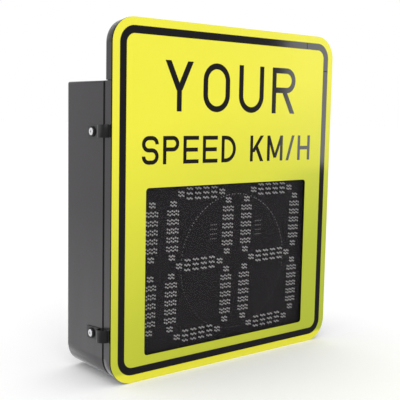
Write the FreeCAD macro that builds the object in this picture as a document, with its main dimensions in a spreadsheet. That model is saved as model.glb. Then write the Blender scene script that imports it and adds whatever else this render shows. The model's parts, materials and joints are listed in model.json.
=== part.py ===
import FreeCAD, Part
import math
import os
import re

import Sketcher
from FreeCAD import Placement, Rotation, Vector

# Radar speed sign: a sheeted face over an LED display, on a frame clamped to a deep housing.
# The sign stands upright. X runs to the right, the face looks along -Y, and Z is up.
# The origin is at the middle of the underside of the whole sign.

# Driving dimensions, in millimetres
DIMENSIONS = {
    # sign face
    "face_width": 610.0,
    "face_corner": 50.0,
    "film_thick": 0.3,
    "sheeting_thick": 0.6,
    "plate_thick": 4.0,
    "tape_thick": 1.0,
    "tape_inset": 6.0,
    "tape_width": 14.0,
    "border_inset": 16.0,
    "border_width": 15.0,
    "window_width": 451.0,
    "window_height": 338.0,
    "window_bottom": 50.0,
    "window_corner": 7.5,
    # legend
    "upper_cap": 100.0,
    "upper_rise": 49.0,
    "upper_letter": 72.0,
    "upper_gap": 26.0,
    "upper_stroke": 12.0,
    "lower_cap": 56.0,
    "lower_letter": 40.0,
    "lower_gap": 11.0,
    "lower_stroke": 8.0,
    # frame, hood and the seal between them
    "rim_inset": 3.0,
    "frame_top": 595.0,
    "frame_depth": 25.0,
    "frame_wall": 2.5,
    "frame_flange": 22.0,
    "frame_return": 10.0,
    "hood_depth": 22.0,
    "hood_height": 117.0,
    "seal_thick": 1.0,
    "seal_recess": 2.0,
    # gasket and housing
    "gasket_thick": 6.0,
    "gasket_recess": 1.5,
    "gasket_width": 8.0,
    "housing_depth": 135.5,
    "housing_wall": 2.5,
    "housing_lip": 12.0,
    "housing_edge": 3.0,
    "housing_corner": 4.0,
    # clamps over the joint between frame and housing
    "clamp_height": 25.0,
    "clamp_thick": 3.0,
    "clamp_bulge": 16.0,
    "clamp_lead": 5.0,
    "clamp_pad": 47.0,
    "clamp_front": 1.0,
    "clamp_low": 95.0,
    "clamp_drop": 98.0,
    "clamp_bolt_edge": 19.0,
    # turn of the straps about their bolts, in degrees, front end up
    "clamp_turn_high": 2.5,
    "clamp_turn_low": 4.5,
    # bolts of the clamps
    "bolt_radius": 4.0,
    "bolt_head_radius": 7.4,
    "bolt_head_height": 3.0,
    "bolt_head_round": 0.8,
    "bolt_socket_radius": 2.8,
    "bolt_socket_depth": 1.0,
    "washer_radius": 10.2,
    "washer_thick": 1.6,
    "nut_radius": 7.5,
    "nut_height": 6.5,
    "bolt_spare": 2.0,
    "hole_clearance": 0.3,
    "thread_clearance": 0.1,
    # display
    "lens_overlap": 14.0,
    "lens_thick": 3.0,
    "rail_width": 24.0,
    "rail_thick": 8.0,
    "rail_clearance": 8.0,
    "rail_end": 9.0,
    "rail_screw_edge": 6.5,
    "board_thick": 1.6,
    "board_margin": 16.0,
    "board_side": 2.0,
    "screw_radius": 2.0,
    "screw_head_radius": 3.8,
    "screw_head_height": 2.6,
    "screw_grip": 6.0,
    "led_height": 2.0,
    "led_size": 3.8,
    "led_zigzag": 1.0,
    "display_shift": 2.0,
    "digit_width": 150.0,
    "digit_gap": 53.5,
    "digit_middle": 219.6,
    "segment_spacing": 150.6,
    "digit_lean": 3.0,
    "column_group_pitch": 18.6,
    "column_led_pitch": 5.3,
    "bar_group_pitch": 22.2,
    "bar_row_pitch": 10.4,
    "bar_led_pitch": 4.1,
    "pair_spacing": 6.8,
    "ring_radius": 148.5,
    "ring_shift": -3.7,
    "ring_drop": 4.8,
    "ring_pair_pitch": 16.3,
    "ring_pair_gap": 6.6,
    "dot_size": 2.4,
    "dash_across": 65.0,
    "dash_above": 50.0,
    "dash_row_pitch": 10.0,
    "dash_dot_pitch": 5.0,
    # controller behind the display
    "controller_width": 160.0,
    "controller_height": 110.0,
    "controller_middle": 300.0,
    "standoff_radius": 3.0,
    "standoff_length": 12.0,
    "standoff_edge": 7.0,
    "control_screw_radius": 1.5,
    "control_head_radius": 2.8,
    "control_head_height": 2.0,
    "chip_size": 16.0,
    "chip_height": 3.0,
    "can_radius": 5.0,
    "can_height": 9.0,
    "terminal_length": 44.0,
    "terminal_depth": 12.0,
    "terminal_height": 14.0,
    # radar unit in the hood
    "radar_width": 120.0,
    "radar_height": 62.0,
    "radar_depth": 13.0,
    "radar_floor": 14.0,
    "antenna_margin": 8.0,
    "antenna_thick": 1.6,
    "radar_screw_edge": 6.0,
    # batteries and their tray and strap
    "battery_width": 181.0,
    "battery_depth": 77.0,
    "battery_height": 167.0,
    "battery_gap": 19.0,
    "tray_thick": 2.0,
    "tray_lip": 25.0,
    "tray_clear": 4.0,
    "tray_side": 6.0,
    "post_width": 12.0,
    "post_depth": 10.0,
    "post_height": 8.0,
    "post_edge": 25.0,
    "strap_width": 25.0,
    "strap_thick": 2.0,
    "strap_height": 105.0,
    "strap_foot": 22.0,
    # charge controller on the back wall
    "charge_width": 150.0,
    "charge_height": 90.0,
    "charge_depth": 30.0,
    "charge_fin": 10.0,
    "charge_fin_thick": 3.0,
    "charge_across": -60.0,
    "charge_gap": 20.0,
    "charge_ear": 14.0,
    "charge_ear_thick": 4.0,
    # leads inside
    "lead_radius": 3.0,
    "lead_bend": 22.0,
    "lead_dip": 45.0,
    "radar_lead_across": 30.0,
    "radar_lead_low": 130.0,
    "radar_lead_high": 45.0,
    "lead_clearance": 1.0,
    # fastening of hood to frame
    "hood_bolt_spacing": 190.0,
    "hood_bolt_radius": 3.0,
    "hood_head_radius": 5.0,
    "hood_head_height": 4.0,
    "hood_nut_radius": 5.8,
    "hood_nut_height": 5.0,
    # bars on the back that take the pole bracket
    "bar_length": 360.0,
    "bar_height": 40.0,
    "bar_thick": 8.0,
    "bar_above_battery": 26.0,
    "bar_high": 470.0,
    "mount_spacing": 280.0,
    "mount_hole_radius": 4.5,
    "mount_nut_radius": 7.5,
    "mount_nut_height": 6.5,
    "bar_bolt_spacing": 140.0,
    "bar_bolt_radius": 3.0,
    "bar_head_radius": 6.0,
    "bar_nut_radius": 5.8,
    "bar_nut_height": 5.0,
    # cable entry and vent
    "entry_gap": 34.0,
    "entry_height": 70.0,
    "grommet_neck": 12.0,
    "grommet_flange": 16.0,
    "grommet_thick": 3.0,
    "vent_neck": 6.0,
    "vent_flange": 10.0,
    "vent_thick": 5.0,
}

# Places worked out from the driving dimensions, front to back and then across and up
LEVELS = {
    "total_depth": "film_thick + sheeting_thick + plate_thick + tape_thick + frame_depth"
    " + gasket_thick + housing_depth + bar_thick",
    "y_film": "-total_depth / 2",
    "y_sheeting": "y_film + film_thick",
    "y_plate": "y_sheeting + sheeting_thick",
    "y_tape": "y_plate + plate_thick",
    "y_frame": "y_tape + tape_thick",
    "y_rail": "y_frame + frame_wall",
    "y_board": "y_rail + rail_thick",
    "y_control": "y_board + board_thick + standoff_length",
    "y_chips": "y_control + board_thick",
    "y_gasket": "y_frame + frame_depth",
    "y_housing": "y_gasket + gasket_thick",
    "y_back": "y_housing + housing_depth",
    "y_inner": "y_back - housing_wall",
    "y_hood_bolt": "y_frame + hood_depth / 2",
    "y_hood_inner": "y_frame + hood_depth - frame_wall",
    "y_bulge": "y_gasket + gasket_thick / 2 - clamp_lead",
    "y_clamp_rear": "y_bulge + clamp_bulge - clamp_thick + clamp_pad",
    "y_clamp_bolt": "y_clamp_rear - clamp_bolt_edge",
    "y_battery": "y_inner - battery_depth",
    "y_charge": "y_inner - charge_depth / 2",
    "side_x": "face_width / 2 - rim_inset",
    "rim_corner": "face_corner - rim_inset",
    "rail_x": "window_width / 2 + lens_overlap + rail_clearance + rail_width / 2",
    "board_half": "rail_x + rail_width / 2 - board_side",
    "board_bottom": "window_bottom - board_margin",
    "board_height": "window_height + 2 * board_margin",
    "frame_height": "frame_top - rim_inset",
    "clamp_high": "frame_top - clamp_drop",
    "hood_bottom": "frame_top + seal_thick",
    "face_height": "hood_bottom + hood_height + rim_inset",
    "radar_bottom": "hood_bottom + frame_wall + radar_floor",
    "floor_top": "rim_inset + housing_wall",
    "battery_bottom": "floor_top + tray_thick",
    "battery_top": "battery_bottom + battery_height",
    "bar_low": "battery_top + post_height + bar_above_battery",
    "charge_bottom": "bar_high - bar_height / 2 - charge_gap - charge_height",
    "charge_middle": "charge_bottom + charge_height / 2",
    "entry_across": "battery_gap / 2 + battery_width + entry_gap",
    "field_top": "face_height - border_inset - border_width",
    "legend_height": "lower_cap + upper_rise + upper_cap",
    "lower_base": "(window_bottom + window_height + field_top - legend_height) / 2",
    "upper_base": "lower_base + lower_cap + upper_rise",
    "battery_lead_x": "charge_across - terminal_length",
    "display_lead_x": "charge_across + terminal_length",
}

NARROW_LIGHTS = 4
WIDE_LIGHTS = 6
# Place of the ring's first pair past the top, in pair pitches
RING_START = 0.64
COLUMN_GROUPS = 7
BAR_GROUPS = 6
DASH_ROWS = 4
DASH_DOTS = 4
CHARGE_FINS = 9
# Places of chips and capacitor cans across the controller board, in chip widths
CHIP_STEPS = (-1.5, 0, 1.5)
CAN_STEPS = (-2, -1, 1, 2)
SIDES = {"left": -1, "right": 1}

DOC = FreeCAD.newDocument("radar_speed_sign")


def make_sheet():
    """Puts every driving dimension in the sheet, under its own name."""
    sheet = DOC.addObject("Spreadsheet::Sheet", "Dims")
    for row, (name, value) in enumerate(DIMENSIONS.items(), start=1):
        sheet.set(f"A{row}", name)
        sheet.set(f"B{row}", str(value))
        sheet.setAlias(f"B{row}", name)
    DOC.recompute()


def make_levels():
    """Makes the set of places that follow from the sheet."""
    levels = DOC.addObject("App::VarSet", "Levels")
    for name in LEVELS:
        levels.addProperty("App::PropertyFloat", name, "Levels", "")
    for name, text in LEVELS.items():
        levels.setExpression(name, formula(text))
    DOC.recompute()
    return levels


def formula(text):
    """Turns a formula of plain names into an expression on the sheet and the levels."""

    def with_owner(match):
        word = match.group(0)
        if word in DIMENSIONS:
            return "Dims." + word
        return "Levels." + word if word in LEVELS else word

    return re.sub(r"[a-z_]+", with_owner, text)


def size(text):
    """Gives the present value of a formula."""
    return float(DOC.Levels.evalExpression(formula(text)))


def point(across, along, up):
    """Gives the point at three formulas."""
    return Vector(size(across), size(along), size(up))


# Sketches and features


def new_sketch(body, name, role, across, up, out):
    """Attaches a sketch to one of its body's origin planes, moved by three formulas."""
    plane = next(item for item in body.Origin.OriginFeatures if item.Role == role)
    sketch = body.newObject("Sketcher::SketchObject", name)
    sketch.AttachmentSupport = [(plane, "")]
    sketch.MapMode = "FlatFace"
    for axis, text in zip("xyz", (across, up, out)):
        sketch.setExpression("AttachmentOffset.Base." + axis, formula(text))
    return sketch


def constrain(sketch, name, parts, text):
    """Adds a dimension to a sketch and ties it to a formula."""
    index = sketch.addConstraint(Sketcher.Constraint(*parts, size(text)))
    sketch.renameConstraint(index, name)
    sketch.setExpression("Constraints." + name, formula(text))


def corner_arc(centre_x, centre_y, radius, quarter):
    """Makes a quarter arc, counted from the lower right corner."""
    circle = Part.Circle(Vector(centre_x, centre_y, 0), Vector(0, 0, 1), radius)
    start = (quarter - 1) * math.pi / 2
    return Part.ArcOfCircle(circle, start, start + math.pi / 2)


def outline(body, name, front, bottom, width, height, low_corner, top_corner):
    """Draws an upright rectangle, centred on X, whose lower and upper corners may be round."""
    sketch = new_sketch(body, name, "XZ_Plane", "0", bottom, f"-({front})")
    half, tall = size(width) / 2, size(height)
    low = size(low_corner) if low_corner else 0.0
    top = size(top_corner) if top_corner else 0.0
    runs = [
        (Vector(-half + low, 0, 0), Vector(half - low, 0, 0)),
        (Vector(half, low, 0), Vector(half, tall - top, 0)),
        (Vector(half - top, tall, 0), Vector(-half + top, tall, 0)),
        (Vector(-half, tall - top, 0), Vector(-half, low, 0)),
    ]
    corners = [(half - low, low, low), (half - top, tall - top, top), (-half + top, tall - top, top)]
    corners.append((-half + low, low, low))
    lines, arcs = [], []
    for quarter, ((start, end), (x, y, radius)) in enumerate(zip(runs, corners)):
        lines.append(sketch.addGeometry(Part.LineSegment(start, end)))
        arcs.append(sketch.addGeometry(corner_arc(x, y, radius, quarter)) if radius else None)
    for here, arc in enumerate(arcs):
        following = lines[(here + 1) % len(lines)]
        if arc is None:
            sketch.addConstraint(Sketcher.Constraint("Coincident", lines[here], 2, following, 1))
            continue
        sketch.addConstraint(Sketcher.Constraint("Tangent", lines[here], 2, arc, 1))
        sketch.addConstraint(Sketcher.Constraint("Tangent", arc, 2, following, 1))
    floor, right, roof, left = lines
    sketch.addConstraint(Sketcher.Constraint("Vertical", right))
    sketch.addConstraint(Sketcher.Constraint("Horizontal", roof))
    sketch.addConstraint(Sketcher.Constraint("Vertical", left))
    sketch.addConstraint(Sketcher.Constraint("PointOnObject", floor, 1, -1))
    sketch.addConstraint(Sketcher.Constraint("Symmetric", floor, 1, floor, 2, -2))
    constrain(sketch, "width", ("DistanceX", left, 1, right, 1), width)
    constrain(sketch, "height", ("DistanceY", floor, 1, roof, 1), height)
    if low:
        constrain(sketch, "low_corner", ("Radius", arcs[0]), low_corner)
        sketch.addConstraint(Sketcher.Constraint("Equal", arcs[0], arcs[3]))
    if top:
        constrain(sketch, "top_corner", ("Radius", arcs[1]), top_corner)
        sketch.addConstraint(Sketcher.Constraint("Equal", arcs[1], arcs[2]))
    return sketch


def add_circle(sketch, index, across, up, radius):
    """Adds one hole to a sketch, placed from the sketch's origin."""
    centre = Vector(size(across), size(up), 0)
    circle = sketch.addGeometry(Part.Circle(centre, Vector(0, 0, 1), size(radius)))
    constrain(sketch, f"radius{index}", ("Radius", circle), radius)
    for kind, value, text, axis in (("X", centre.x, across, -2), ("Y", centre.y, up, -1)):
        if value == 0:
            sketch.addConstraint(Sketcher.Constraint("PointOnObject", circle, 3, axis))
        elif value > 0:
            constrain(sketch, f"place{kind}{index}", ("Distance" + kind, -1, 1, circle, 3), text)
        else:
            constrain(sketch, f"place{kind}{index}", ("Distance" + kind, circle, 3, -1, 1), f"-({text})")


def pad(body, sketch, length):
    """Raises a sketch of the XZ plane backwards into the sign."""
    feature = body.newObject("PartDesign::Pad", sketch.Name + "_pad")
    feature.Profile = sketch
    feature.Reversed = True
    feature.setExpression("Length", formula(length))
    DOC.recompute()
    return feature


def pocket(body, sketch, length, reverse=False):
    """Cuts a sketch into its body, and sees that it took material away."""
    before = body.Shape.Volume
    feature = body.newObject("PartDesign::Pocket", sketch.Name + "_pocket")
    feature.Profile = sketch
    feature.Reversed = reverse
    feature.setExpression("Length", formula(length))
    DOC.recompute()
    if not body.Shape.Volume < before:
        raise RuntimeError(feature.Name + " cut nothing")
    return feature


def drill(body, name, role, origin, holes, length, reverse=False):
    """Cuts round holes, each given as place across, place up and radius."""
    sketch = new_sketch(body, name, role, *origin)
    for index, (across, up, radius) in enumerate(holes):
        add_circle(sketch, index, across, up, radius)
    return pocket(body, sketch, length, reverse)


def box(name, corner, extent):
    """Makes a block from its lowest corner."""
    solid = DOC.addObject("Part::Box", name)
    for axis, text in zip("xyz", corner):
        solid.setExpression("Placement.Base." + axis, formula(text))
    for side, text in zip(("Length", "Width", "Height"), extent):
        solid.setExpression(side, formula(text))
    return solid


AXIS_TURNS = {
    "x": Rotation(Vector(0, 1, 0), 90),
    "y": Rotation(Vector(1, 0, 0), -90),
    "z": Rotation(),
}


def rod(name, axis, start, radius, length):
    """Makes a cylinder that starts at a point and runs along an axis."""
    solid = DOC.addObject("Part::Cylinder", name)
    solid.Placement = Placement(Vector(), AXIS_TURNS[axis])
    for letter, text in zip("xyz", start):
        solid.setExpression("Placement.Base." + letter, formula(text))
    solid.setExpression("Radius", formula(radius))
    solid.setExpression("Height", formula(length))
    return solid


def fuse(label, solids):
    """Joins solids into one piece."""
    result = DOC.addObject("Part::MultiFuse", label)
    result.Shapes = solids
    result.Refine = True
    return result


def cut(label, base, tools):
    """Takes solids away from a piece."""
    together = DOC.addObject("Part::Compound", label + "_cuts")
    together.Links = tools
    result = DOC.addObject("Part::Cut", label)
    result.Base = base
    result.Tool = together
    result.Refine = True
    return result


def group(label, shapes):
    """Makes one node of several separate like solids."""
    feature = DOC.addObject("Part::Feature", label)
    feature.Shape = Part.makeCompound(shapes)
    return feature


# Fasteners, built along +Z with the underside of the head at the origin


def placed(shape, place, direction):
    """Turns a shape's +Z to a direction and moves its origin to a place."""
    result = shape.copy()
    result.Placement = Placement(place, Rotation(Vector(0, 0, 1), direction))
    return result


def screw(radius, length, head_radius, head_height, rounding=None):
    """Makes a screw whose head is rounded by half its height, or by a given radius."""
    head = Part.makeCylinder(head_radius, head_height, Vector(0, 0, -head_height))
    rim = [edge for edge in head.Edges if abs(edge.BoundBox.ZMax + head_height) < 1e-6]
    circles = [edge for edge in rim if edge.Curve.TypeId == "Part::GeomCircle"]
    head = head.makeFillet(rounding or head_height / 2, circles)
    return head.fuse(Part.makeCylinder(radius, length)).removeSplitter()


def hexagon(radius, height, start):
    """Makes a six-sided prism from its corner radius."""
    corners = [
        Vector(radius * math.cos(turn * math.pi / 3), radius * math.sin(turn * math.pi / 3), start)
        for turn in range(7)
    ]
    return Part.Face(Part.makePolygon(corners)).extrude(Vector(0, 0, height))


def nut(radius, height, bore):
    """Makes a hexagonal nut that starts at the origin."""
    return hexagon(radius, height, 0).cut(Part.makeCylinder(bore, height))


def turned(profile):
    """Turns a closed outline of radius and height about Z."""
    corners = [Vector(radius, 0, height) for radius, height in profile + profile[:1]]
    return Part.Face(Part.makePolygon(corners)).revolve(Vector(), Vector(0, 0, 1), 360)


FRONT, REAR, UP = Vector(0, -1, 0), Vector(0, 1, 0), Vector(0, 0, 1)


# Sign face


def face_panel(label, front, thickness):
    """Makes a sheet with the outline of the face and its display window."""
    body = DOC.addObject("PartDesign::Body", label)
    edge = outline(
        body, label + "_edge", front, "0", "face_width", "face_height", "face_corner", "face_corner"
    )
    pad(body, edge, thickness)
    window = outline(
        body, label + "_window", front, "window_bottom", "window_width", "window_height",
        "window_corner", "window_corner",
    )
    pocket(body, window, thickness)
    return body


def face_ring(label, front, thickness, inset, width):
    """Makes a ring that follows the edge of the face."""
    body = DOC.addObject("PartDesign::Body", label)
    for name, gap, work in (("outer", inset, pad), ("inner", f"{inset} + {width}", pocket)):
        corner = f"face_corner - ({gap})"
        across, tall = f"face_width - 2 * ({gap})", f"face_height - 2 * ({gap})"
        sketch = outline(body, f"{label}_{name}", front, gap, across, tall, corner, corner)
        work(body, sketch, thickness)
    return body


# Legend, cut from black film as bars and bows of one stroke width

# Shares of a letter's width or height that shape it
FULL_ROUND = 0.499
BOW_REACH = 0.8
WAIST = 0.45
HOOK = 0.29
FORK = 0.42
VALLEY = 0.12
MIDDLE_ARM = 0.94
ARM_FOOT = 0.36
LEG_HEAD = 0.58
# Shares of the stroke at sloping bars
SLOPE_STROKE = 1.2
SLOPE_INSET = 0.65


def slab(x_low, z_low, x_high, z_high):
    """Makes a straight bar of film."""
    thick = size("film_thick")
    return Part.makeBox(x_high - x_low, thick, z_high - z_low, Vector(x_low, 0, z_low))


def slope(x_low, z_low, x_high, z_high, stroke):
    """Makes a leaning bar of film with level ends."""
    half = stroke / 2
    corners = [(x_low - half, z_low), (x_low + half, z_low), (x_high + half, z_high), (x_high - half, z_high)]
    loop = [Vector(x, 0, z) for x, z in corners + corners[:1]]
    return Part.Face(Part.makePolygon(loop)).extrude(Vector(0, size("film_thick"), 0))


def pill(x_low, z_low, x_high, z_high, radius):
    """Makes a bar of film with all four corners round."""
    block = slab(x_low, z_low, x_high, z_high)
    uprights = [edge for edge in block.Edges if edge.BoundBox.YLength > size("film_thick") / 2]
    return block.makeFillet(radius, uprights)


def letter_o(width, cap, stroke):
    """Makes a round letter."""
    hollow = pill(stroke, stroke, width - stroke, cap - stroke, (width - 2 * stroke) * FULL_ROUND)
    return pill(0, 0, width, cap, width * FULL_ROUND).cut(hollow)


def letter_u(width, cap, stroke):
    """Makes two uprights joined by a bow at the foot."""
    hollow = pill(stroke, stroke, width - stroke, 2 * cap, (width - 2 * stroke) * FULL_ROUND)
    return pill(0, 0, width, 2 * cap, width * FULL_ROUND).cut(hollow).common(slab(0, 0, width, cap))


def bow(width, low, high, stroke):
    """Makes an upright's bow to the right, between two heights."""
    reach = min((high - low) * FULL_ROUND, width * BOW_REACH)
    full = pill(-width, low, width, high, reach)
    hollow = pill(-width, low + stroke, width - stroke, high - stroke, reach - stroke)
    return full.cut(hollow).common(slab(0, low, width, high))


def letter_d(width, cap, stroke):
    """Makes an upright with one full bow."""
    return bow(width, 0, cap, stroke).fuse(slab(0, 0, stroke, cap))


def letter_p(width, cap, stroke):
    """Makes an upright with a bow at its head."""
    return bow(width, cap * WAIST, cap, stroke).fuse(slab(0, 0, stroke, cap))


def letter_r(width, cap, stroke):
    """Makes an upright with a bow at its head and a leg."""
    foot, waist = width - stroke * SLOPE_INSET, cap * WAIST + stroke / 2
    leg = slope(foot, 0, width / 2, waist, stroke * SLOPE_STROKE)
    return letter_p(width, cap, stroke).fuse(leg)


def letter_s(width, cap, stroke):
    """Makes two opposed bows that share their middle bar."""
    middle_low, middle_high = (cap - stroke) / 2, (cap + stroke) / 2
    radius = min(middle_high, width) * FULL_ROUND
    hook = cap * HOOK
    upper = pill(0, middle_low, width, cap, radius)
    upper = upper.cut(pill(stroke, middle_high, width - stroke, cap - stroke, radius - stroke))
    upper = upper.cut(slab(width / 2, middle_low, width, cap - hook))
    lower = pill(0, 0, width, middle_high, radius)
    lower = lower.cut(pill(stroke, stroke, width - stroke, middle_low, radius - stroke))
    lower = lower.cut(slab(0, hook, width / 2, middle_high))
    return upper.fuse(lower)


def letter_e(width, cap, stroke):
    """Makes an upright with three arms."""
    arms = [slab(0, low, width, low + stroke) for low in (0, cap - stroke)]
    arms.append(slab(0, (cap - stroke) / 2, width * MIDDLE_ARM, (cap + stroke) / 2))
    return slab(0, 0, stroke, cap).multiFuse(arms)


def letter_y(width, cap, stroke):
    """Makes a stem with two arms."""
    fork, inset = cap * FORK, stroke * SLOPE_INSET
    arms = [slope(width / 2, fork, end, cap, stroke * SLOPE_STROKE) for end in (inset, width - inset)]
    return slab((width - stroke) / 2, 0, (width + stroke) / 2, fork + stroke / 2).multiFuse(arms)


def letter_k(width, cap, stroke):
    """Makes an upright with an arm and a leg."""
    end, wide = width - stroke * SLOPE_INSET, stroke * SLOPE_STROKE
    arm = slope(stroke, cap * ARM_FOOT, end, cap, wide)
    leg = slope(end, 0, width * WAIST, cap * LEG_HEAD, wide)
    return slab(0, 0, stroke, cap).multiFuse([arm, leg])


def letter_m(width, cap, stroke):
    """Makes two uprights joined by a valley."""
    valley = cap * VALLEY
    arms = [slope(width / 2, valley, end, cap, stroke) for end in (stroke / 2, width - stroke / 2)]
    return slab(0, 0, stroke, cap).multiFuse(arms + [slab(width - stroke, 0, width, cap)])


def letter_h(width, cap, stroke):
    """Makes two uprights and a crossbar."""
    bars = [slab(width - stroke, 0, width, cap), slab(0, (cap - stroke) / 2, width, (cap + stroke) / 2)]
    return slab(0, 0, stroke, cap).multiFuse(bars)


def stroke_mark(width, cap, stroke):
    """Makes the sloping stroke between two units."""
    return slope(stroke / 2, 0, width - stroke / 2, cap, stroke)


GLYPHS = {
    "Y": (letter_y, 1.0),
    "O": (letter_o, 1.0),
    "U": (letter_u, 1.0),
    "R": (letter_r, 1.0),
    "S": (letter_s, 1.0),
    "P": (letter_p, 1.0),
    "E": (letter_e, 1.0),
    "D": (letter_d, 1.0),
    "K": (letter_k, 1.0),
    "M": (letter_m, 1.2),
    "/": (stroke_mark, 0.65),
    "H": (letter_h, 1.0),
    " ": (None, 0.5),
}
LEGEND = (("upper", "YOUR"), ("lower", "SPEED KM/H"))


def legend_row(row, words):
    """Sets one row of letters, centred on the face."""
    cap, stroke = size(row + "_cap"), size(row + "_stroke")
    letter, gap = size(row + "_letter"), size(row + "_gap")
    widths = [letter * GLYPHS[sign][1] for sign in words]
    left = -(sum(widths) + gap * (len(words) - 1)) / 2
    shapes = []
    for sign, width in zip(words, widths):
        make = GLYPHS[sign][0]
        if make:
            shape = make(width, cap, stroke).removeSplitter()
            shape.translate(Vector(left, size("y_film"), size(row + "_base")))
            shapes.extend(shape.Solids)
        left += width + gap
    return shapes


def legend_letters():
    """Makes the letters of both rows."""
    return group("legend_letters", [shape for row, words in LEGEND for shape in legend_row(row, words)])


def display_lens():
    """Makes the clear sheet bonded behind the window."""
    body = DOC.addObject("PartDesign::Body", "display_lens")
    edge = outline(
        body, "lens_edge", "y_tape", "window_bottom - lens_overlap", "window_width + 2 * lens_overlap",
        "window_height + 2 * lens_overlap", "lens_overlap", "lens_overlap",
    )
    pad(body, edge, "lens_thick")
    return body


# Frame, hood, seals and housing


def shell_step(body, name, front, inset, length, work, corners):
    """Draws the housing outline at an inset, then pads or pockets it."""
    low = f"rim_corner - ({inset})"
    top = f"{corners} - ({inset})" if corners and size(f"{corners} - ({inset})") > 0 else None
    sketch = outline(
        body, name, front, f"rim_inset + {inset}", f"2 * (side_x - ({inset}))",
        f"frame_height - 2 * ({inset})", low, top,
    )
    return work(body, sketch, length)


def hood_bolt_places():
    """Lists where bolts join hood and frame, from left to right."""
    return ["-hood_bolt_spacing", "0", "hood_bolt_spacing"]


def roof_holes():
    """Lists the holes through the joint of frame and hood: bolts, then the radar lead."""
    bolts = [(across, "y_hood_bolt", "hood_bolt_radius + hole_clearance") for across in hood_bolt_places()]
    return bolts + [("radar_lead_across", "y_hood_bolt", "lead_radius + lead_clearance")]


def front_frame():
    """Makes the channel frame behind the face, as tall as the housing."""
    body = DOC.addObject("PartDesign::Body", "front_frame")
    shell_step(body, "frame_edge", "y_frame", "0", "frame_depth", pad, None)
    shell_step(body, "frame_opening", "y_frame", "frame_flange", "frame_depth", pocket, None)
    shell_step(body, "frame_channel", "y_rail", "frame_wall", "frame_depth - 2 * frame_wall", pocket, None)
    rear = "y_gasket - frame_wall"
    shell_step(body, "frame_rear", rear, "frame_return", "frame_wall", pocket, None)
    roof = ("0", "0", "frame_top - frame_wall")
    drill(body, "frame_roof", "XY_Plane", roof, roof_holes(), "frame_wall", True)
    radius = "screw_radius + hole_clearance"
    ends = [(f"{side} * rail_x", up, radius) for side in SIDES.values() for up in rail_ends()]
    drill(body, "frame_rail_holes", "XZ_Plane", ("0", "0", "-y_frame"), ends, "frame_wall")
    return body


def upper_hood():
    """Makes the shallow tray that carries the face above the housing."""
    body = DOC.addObject("PartDesign::Body", "upper_hood")
    steps = (
        ("hood_edge", "y_frame", "0", "hood_depth", pad),
        ("hood_opening", "y_frame", "frame_flange", "frame_wall", pocket),
        ("hood_channel", "y_rail", "frame_wall", "hood_depth - 2 * frame_wall", pocket),
    )
    for name, front, inset, length, work in steps:
        sketch = outline(
            body, name, front, f"hood_bottom + {inset}", f"2 * (side_x - {inset})",
            f"hood_height - 2 * {inset}", None, f"rim_corner - {inset}",
        )
        work(body, sketch, length)
    drill(body, "hood_floor", "XY_Plane", ("0", "0", "hood_bottom"), roof_holes(), "frame_wall", True)
    holes = [(across, up, "control_screw_radius + hole_clearance") for across, up in radar_screw_places()]
    drill(body, "hood_radar_holes", "XZ_Plane", ("0", "0", "-y_hood_inner"), holes, "frame_wall")
    return body


def hood_seal():
    """Makes the thin strip between frame and hood."""
    corner = ("-side_x + seal_recess", "y_frame + seal_recess", "frame_top")
    extent = ("2 * (side_x - seal_recess)", "hood_depth - 2 * seal_recess", "seal_thick")
    bores = [
        rod(f"seal_bore_{index}", "z", (across, along, "frame_top"), radius, "seal_thick")
        for index, (across, along, radius) in enumerate(roof_holes())
    ]
    return cut("hood_seal", box("seal_strip", corner, extent), bores)


def frame_gasket():
    """Makes the compressed gasket in the groove between frame and housing."""
    body = DOC.addObject("PartDesign::Body", "frame_gasket")
    shell_step(body, "gasket_edge", "y_gasket", "gasket_recess", "gasket_thick", pad, None)
    inner = "gasket_recess + gasket_width"
    shell_step(body, "gasket_inside", "y_gasket", inner, "gasket_thick", pocket, None)
    return body


def round_rear_edges(body, base):
    """Rounds the edges of the housing's back."""
    rear = size("y_back")
    names = [
        f"Edge{index}"
        for index, edge in enumerate(base.Shape.Edges, start=1)
        if edge.BoundBox.YMin > rear - 1e-6
    ]
    rounding = body.newObject("PartDesign::Fillet", "housing_back_round")
    rounding.Base = (base, names)
    rounding.setExpression("Radius", formula("housing_edge"))
    DOC.recompute()


def back_holes():
    """Lists the holes through the housing's back."""
    mount = [(across, up, "mount_hole_radius") for across, up in mount_places()]
    bars = [(across, up, "bar_bolt_radius + hole_clearance") for across, up in bar_bolt_places()]
    straps = [(across, up, "screw_radius + hole_clearance") for across, up in strap_screw_places()]
    charge = [(across, up, "screw_radius + hole_clearance") for across, up in charge_screw_places()]
    entries = [("entry_across", "entry_height", "grommet_neck")]
    entries.append(("-entry_across", "entry_height", "vent_neck"))
    return mount + bars + straps + charge + entries


def rear_housing():
    """Makes the deep box, open in front inside a lip."""
    body = DOC.addObject("PartDesign::Body", "rear_housing")
    block = shell_step(body, "housing_edge_line", "y_housing", "0", "housing_depth", pad, "housing_corner")
    round_rear_edges(body, block)
    inside = "housing_depth - housing_wall"
    shell_step(body, "housing_mouth", "y_housing", "housing_lip", inside, pocket, "housing_corner")
    hollow = "housing_depth - 2 * housing_wall"
    shell_step(
        body, "housing_hollow", "y_housing + housing_wall", "housing_wall", hollow, pocket, "housing_corner"
    )
    drill(body, "housing_back_holes", "XZ_Plane", ("0", "0", "-y_inner"), back_holes(), "housing_wall")
    sides = [("y_clamp_bolt", up, "bolt_radius + hole_clearance") for up in ("clamp_low", "clamp_high")]
    drill(body, "housing_side_holes", "YZ_Plane", ("0", "0", "-side_x"), sides, "2 * side_x", True)
    return body


# Clamps


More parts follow.
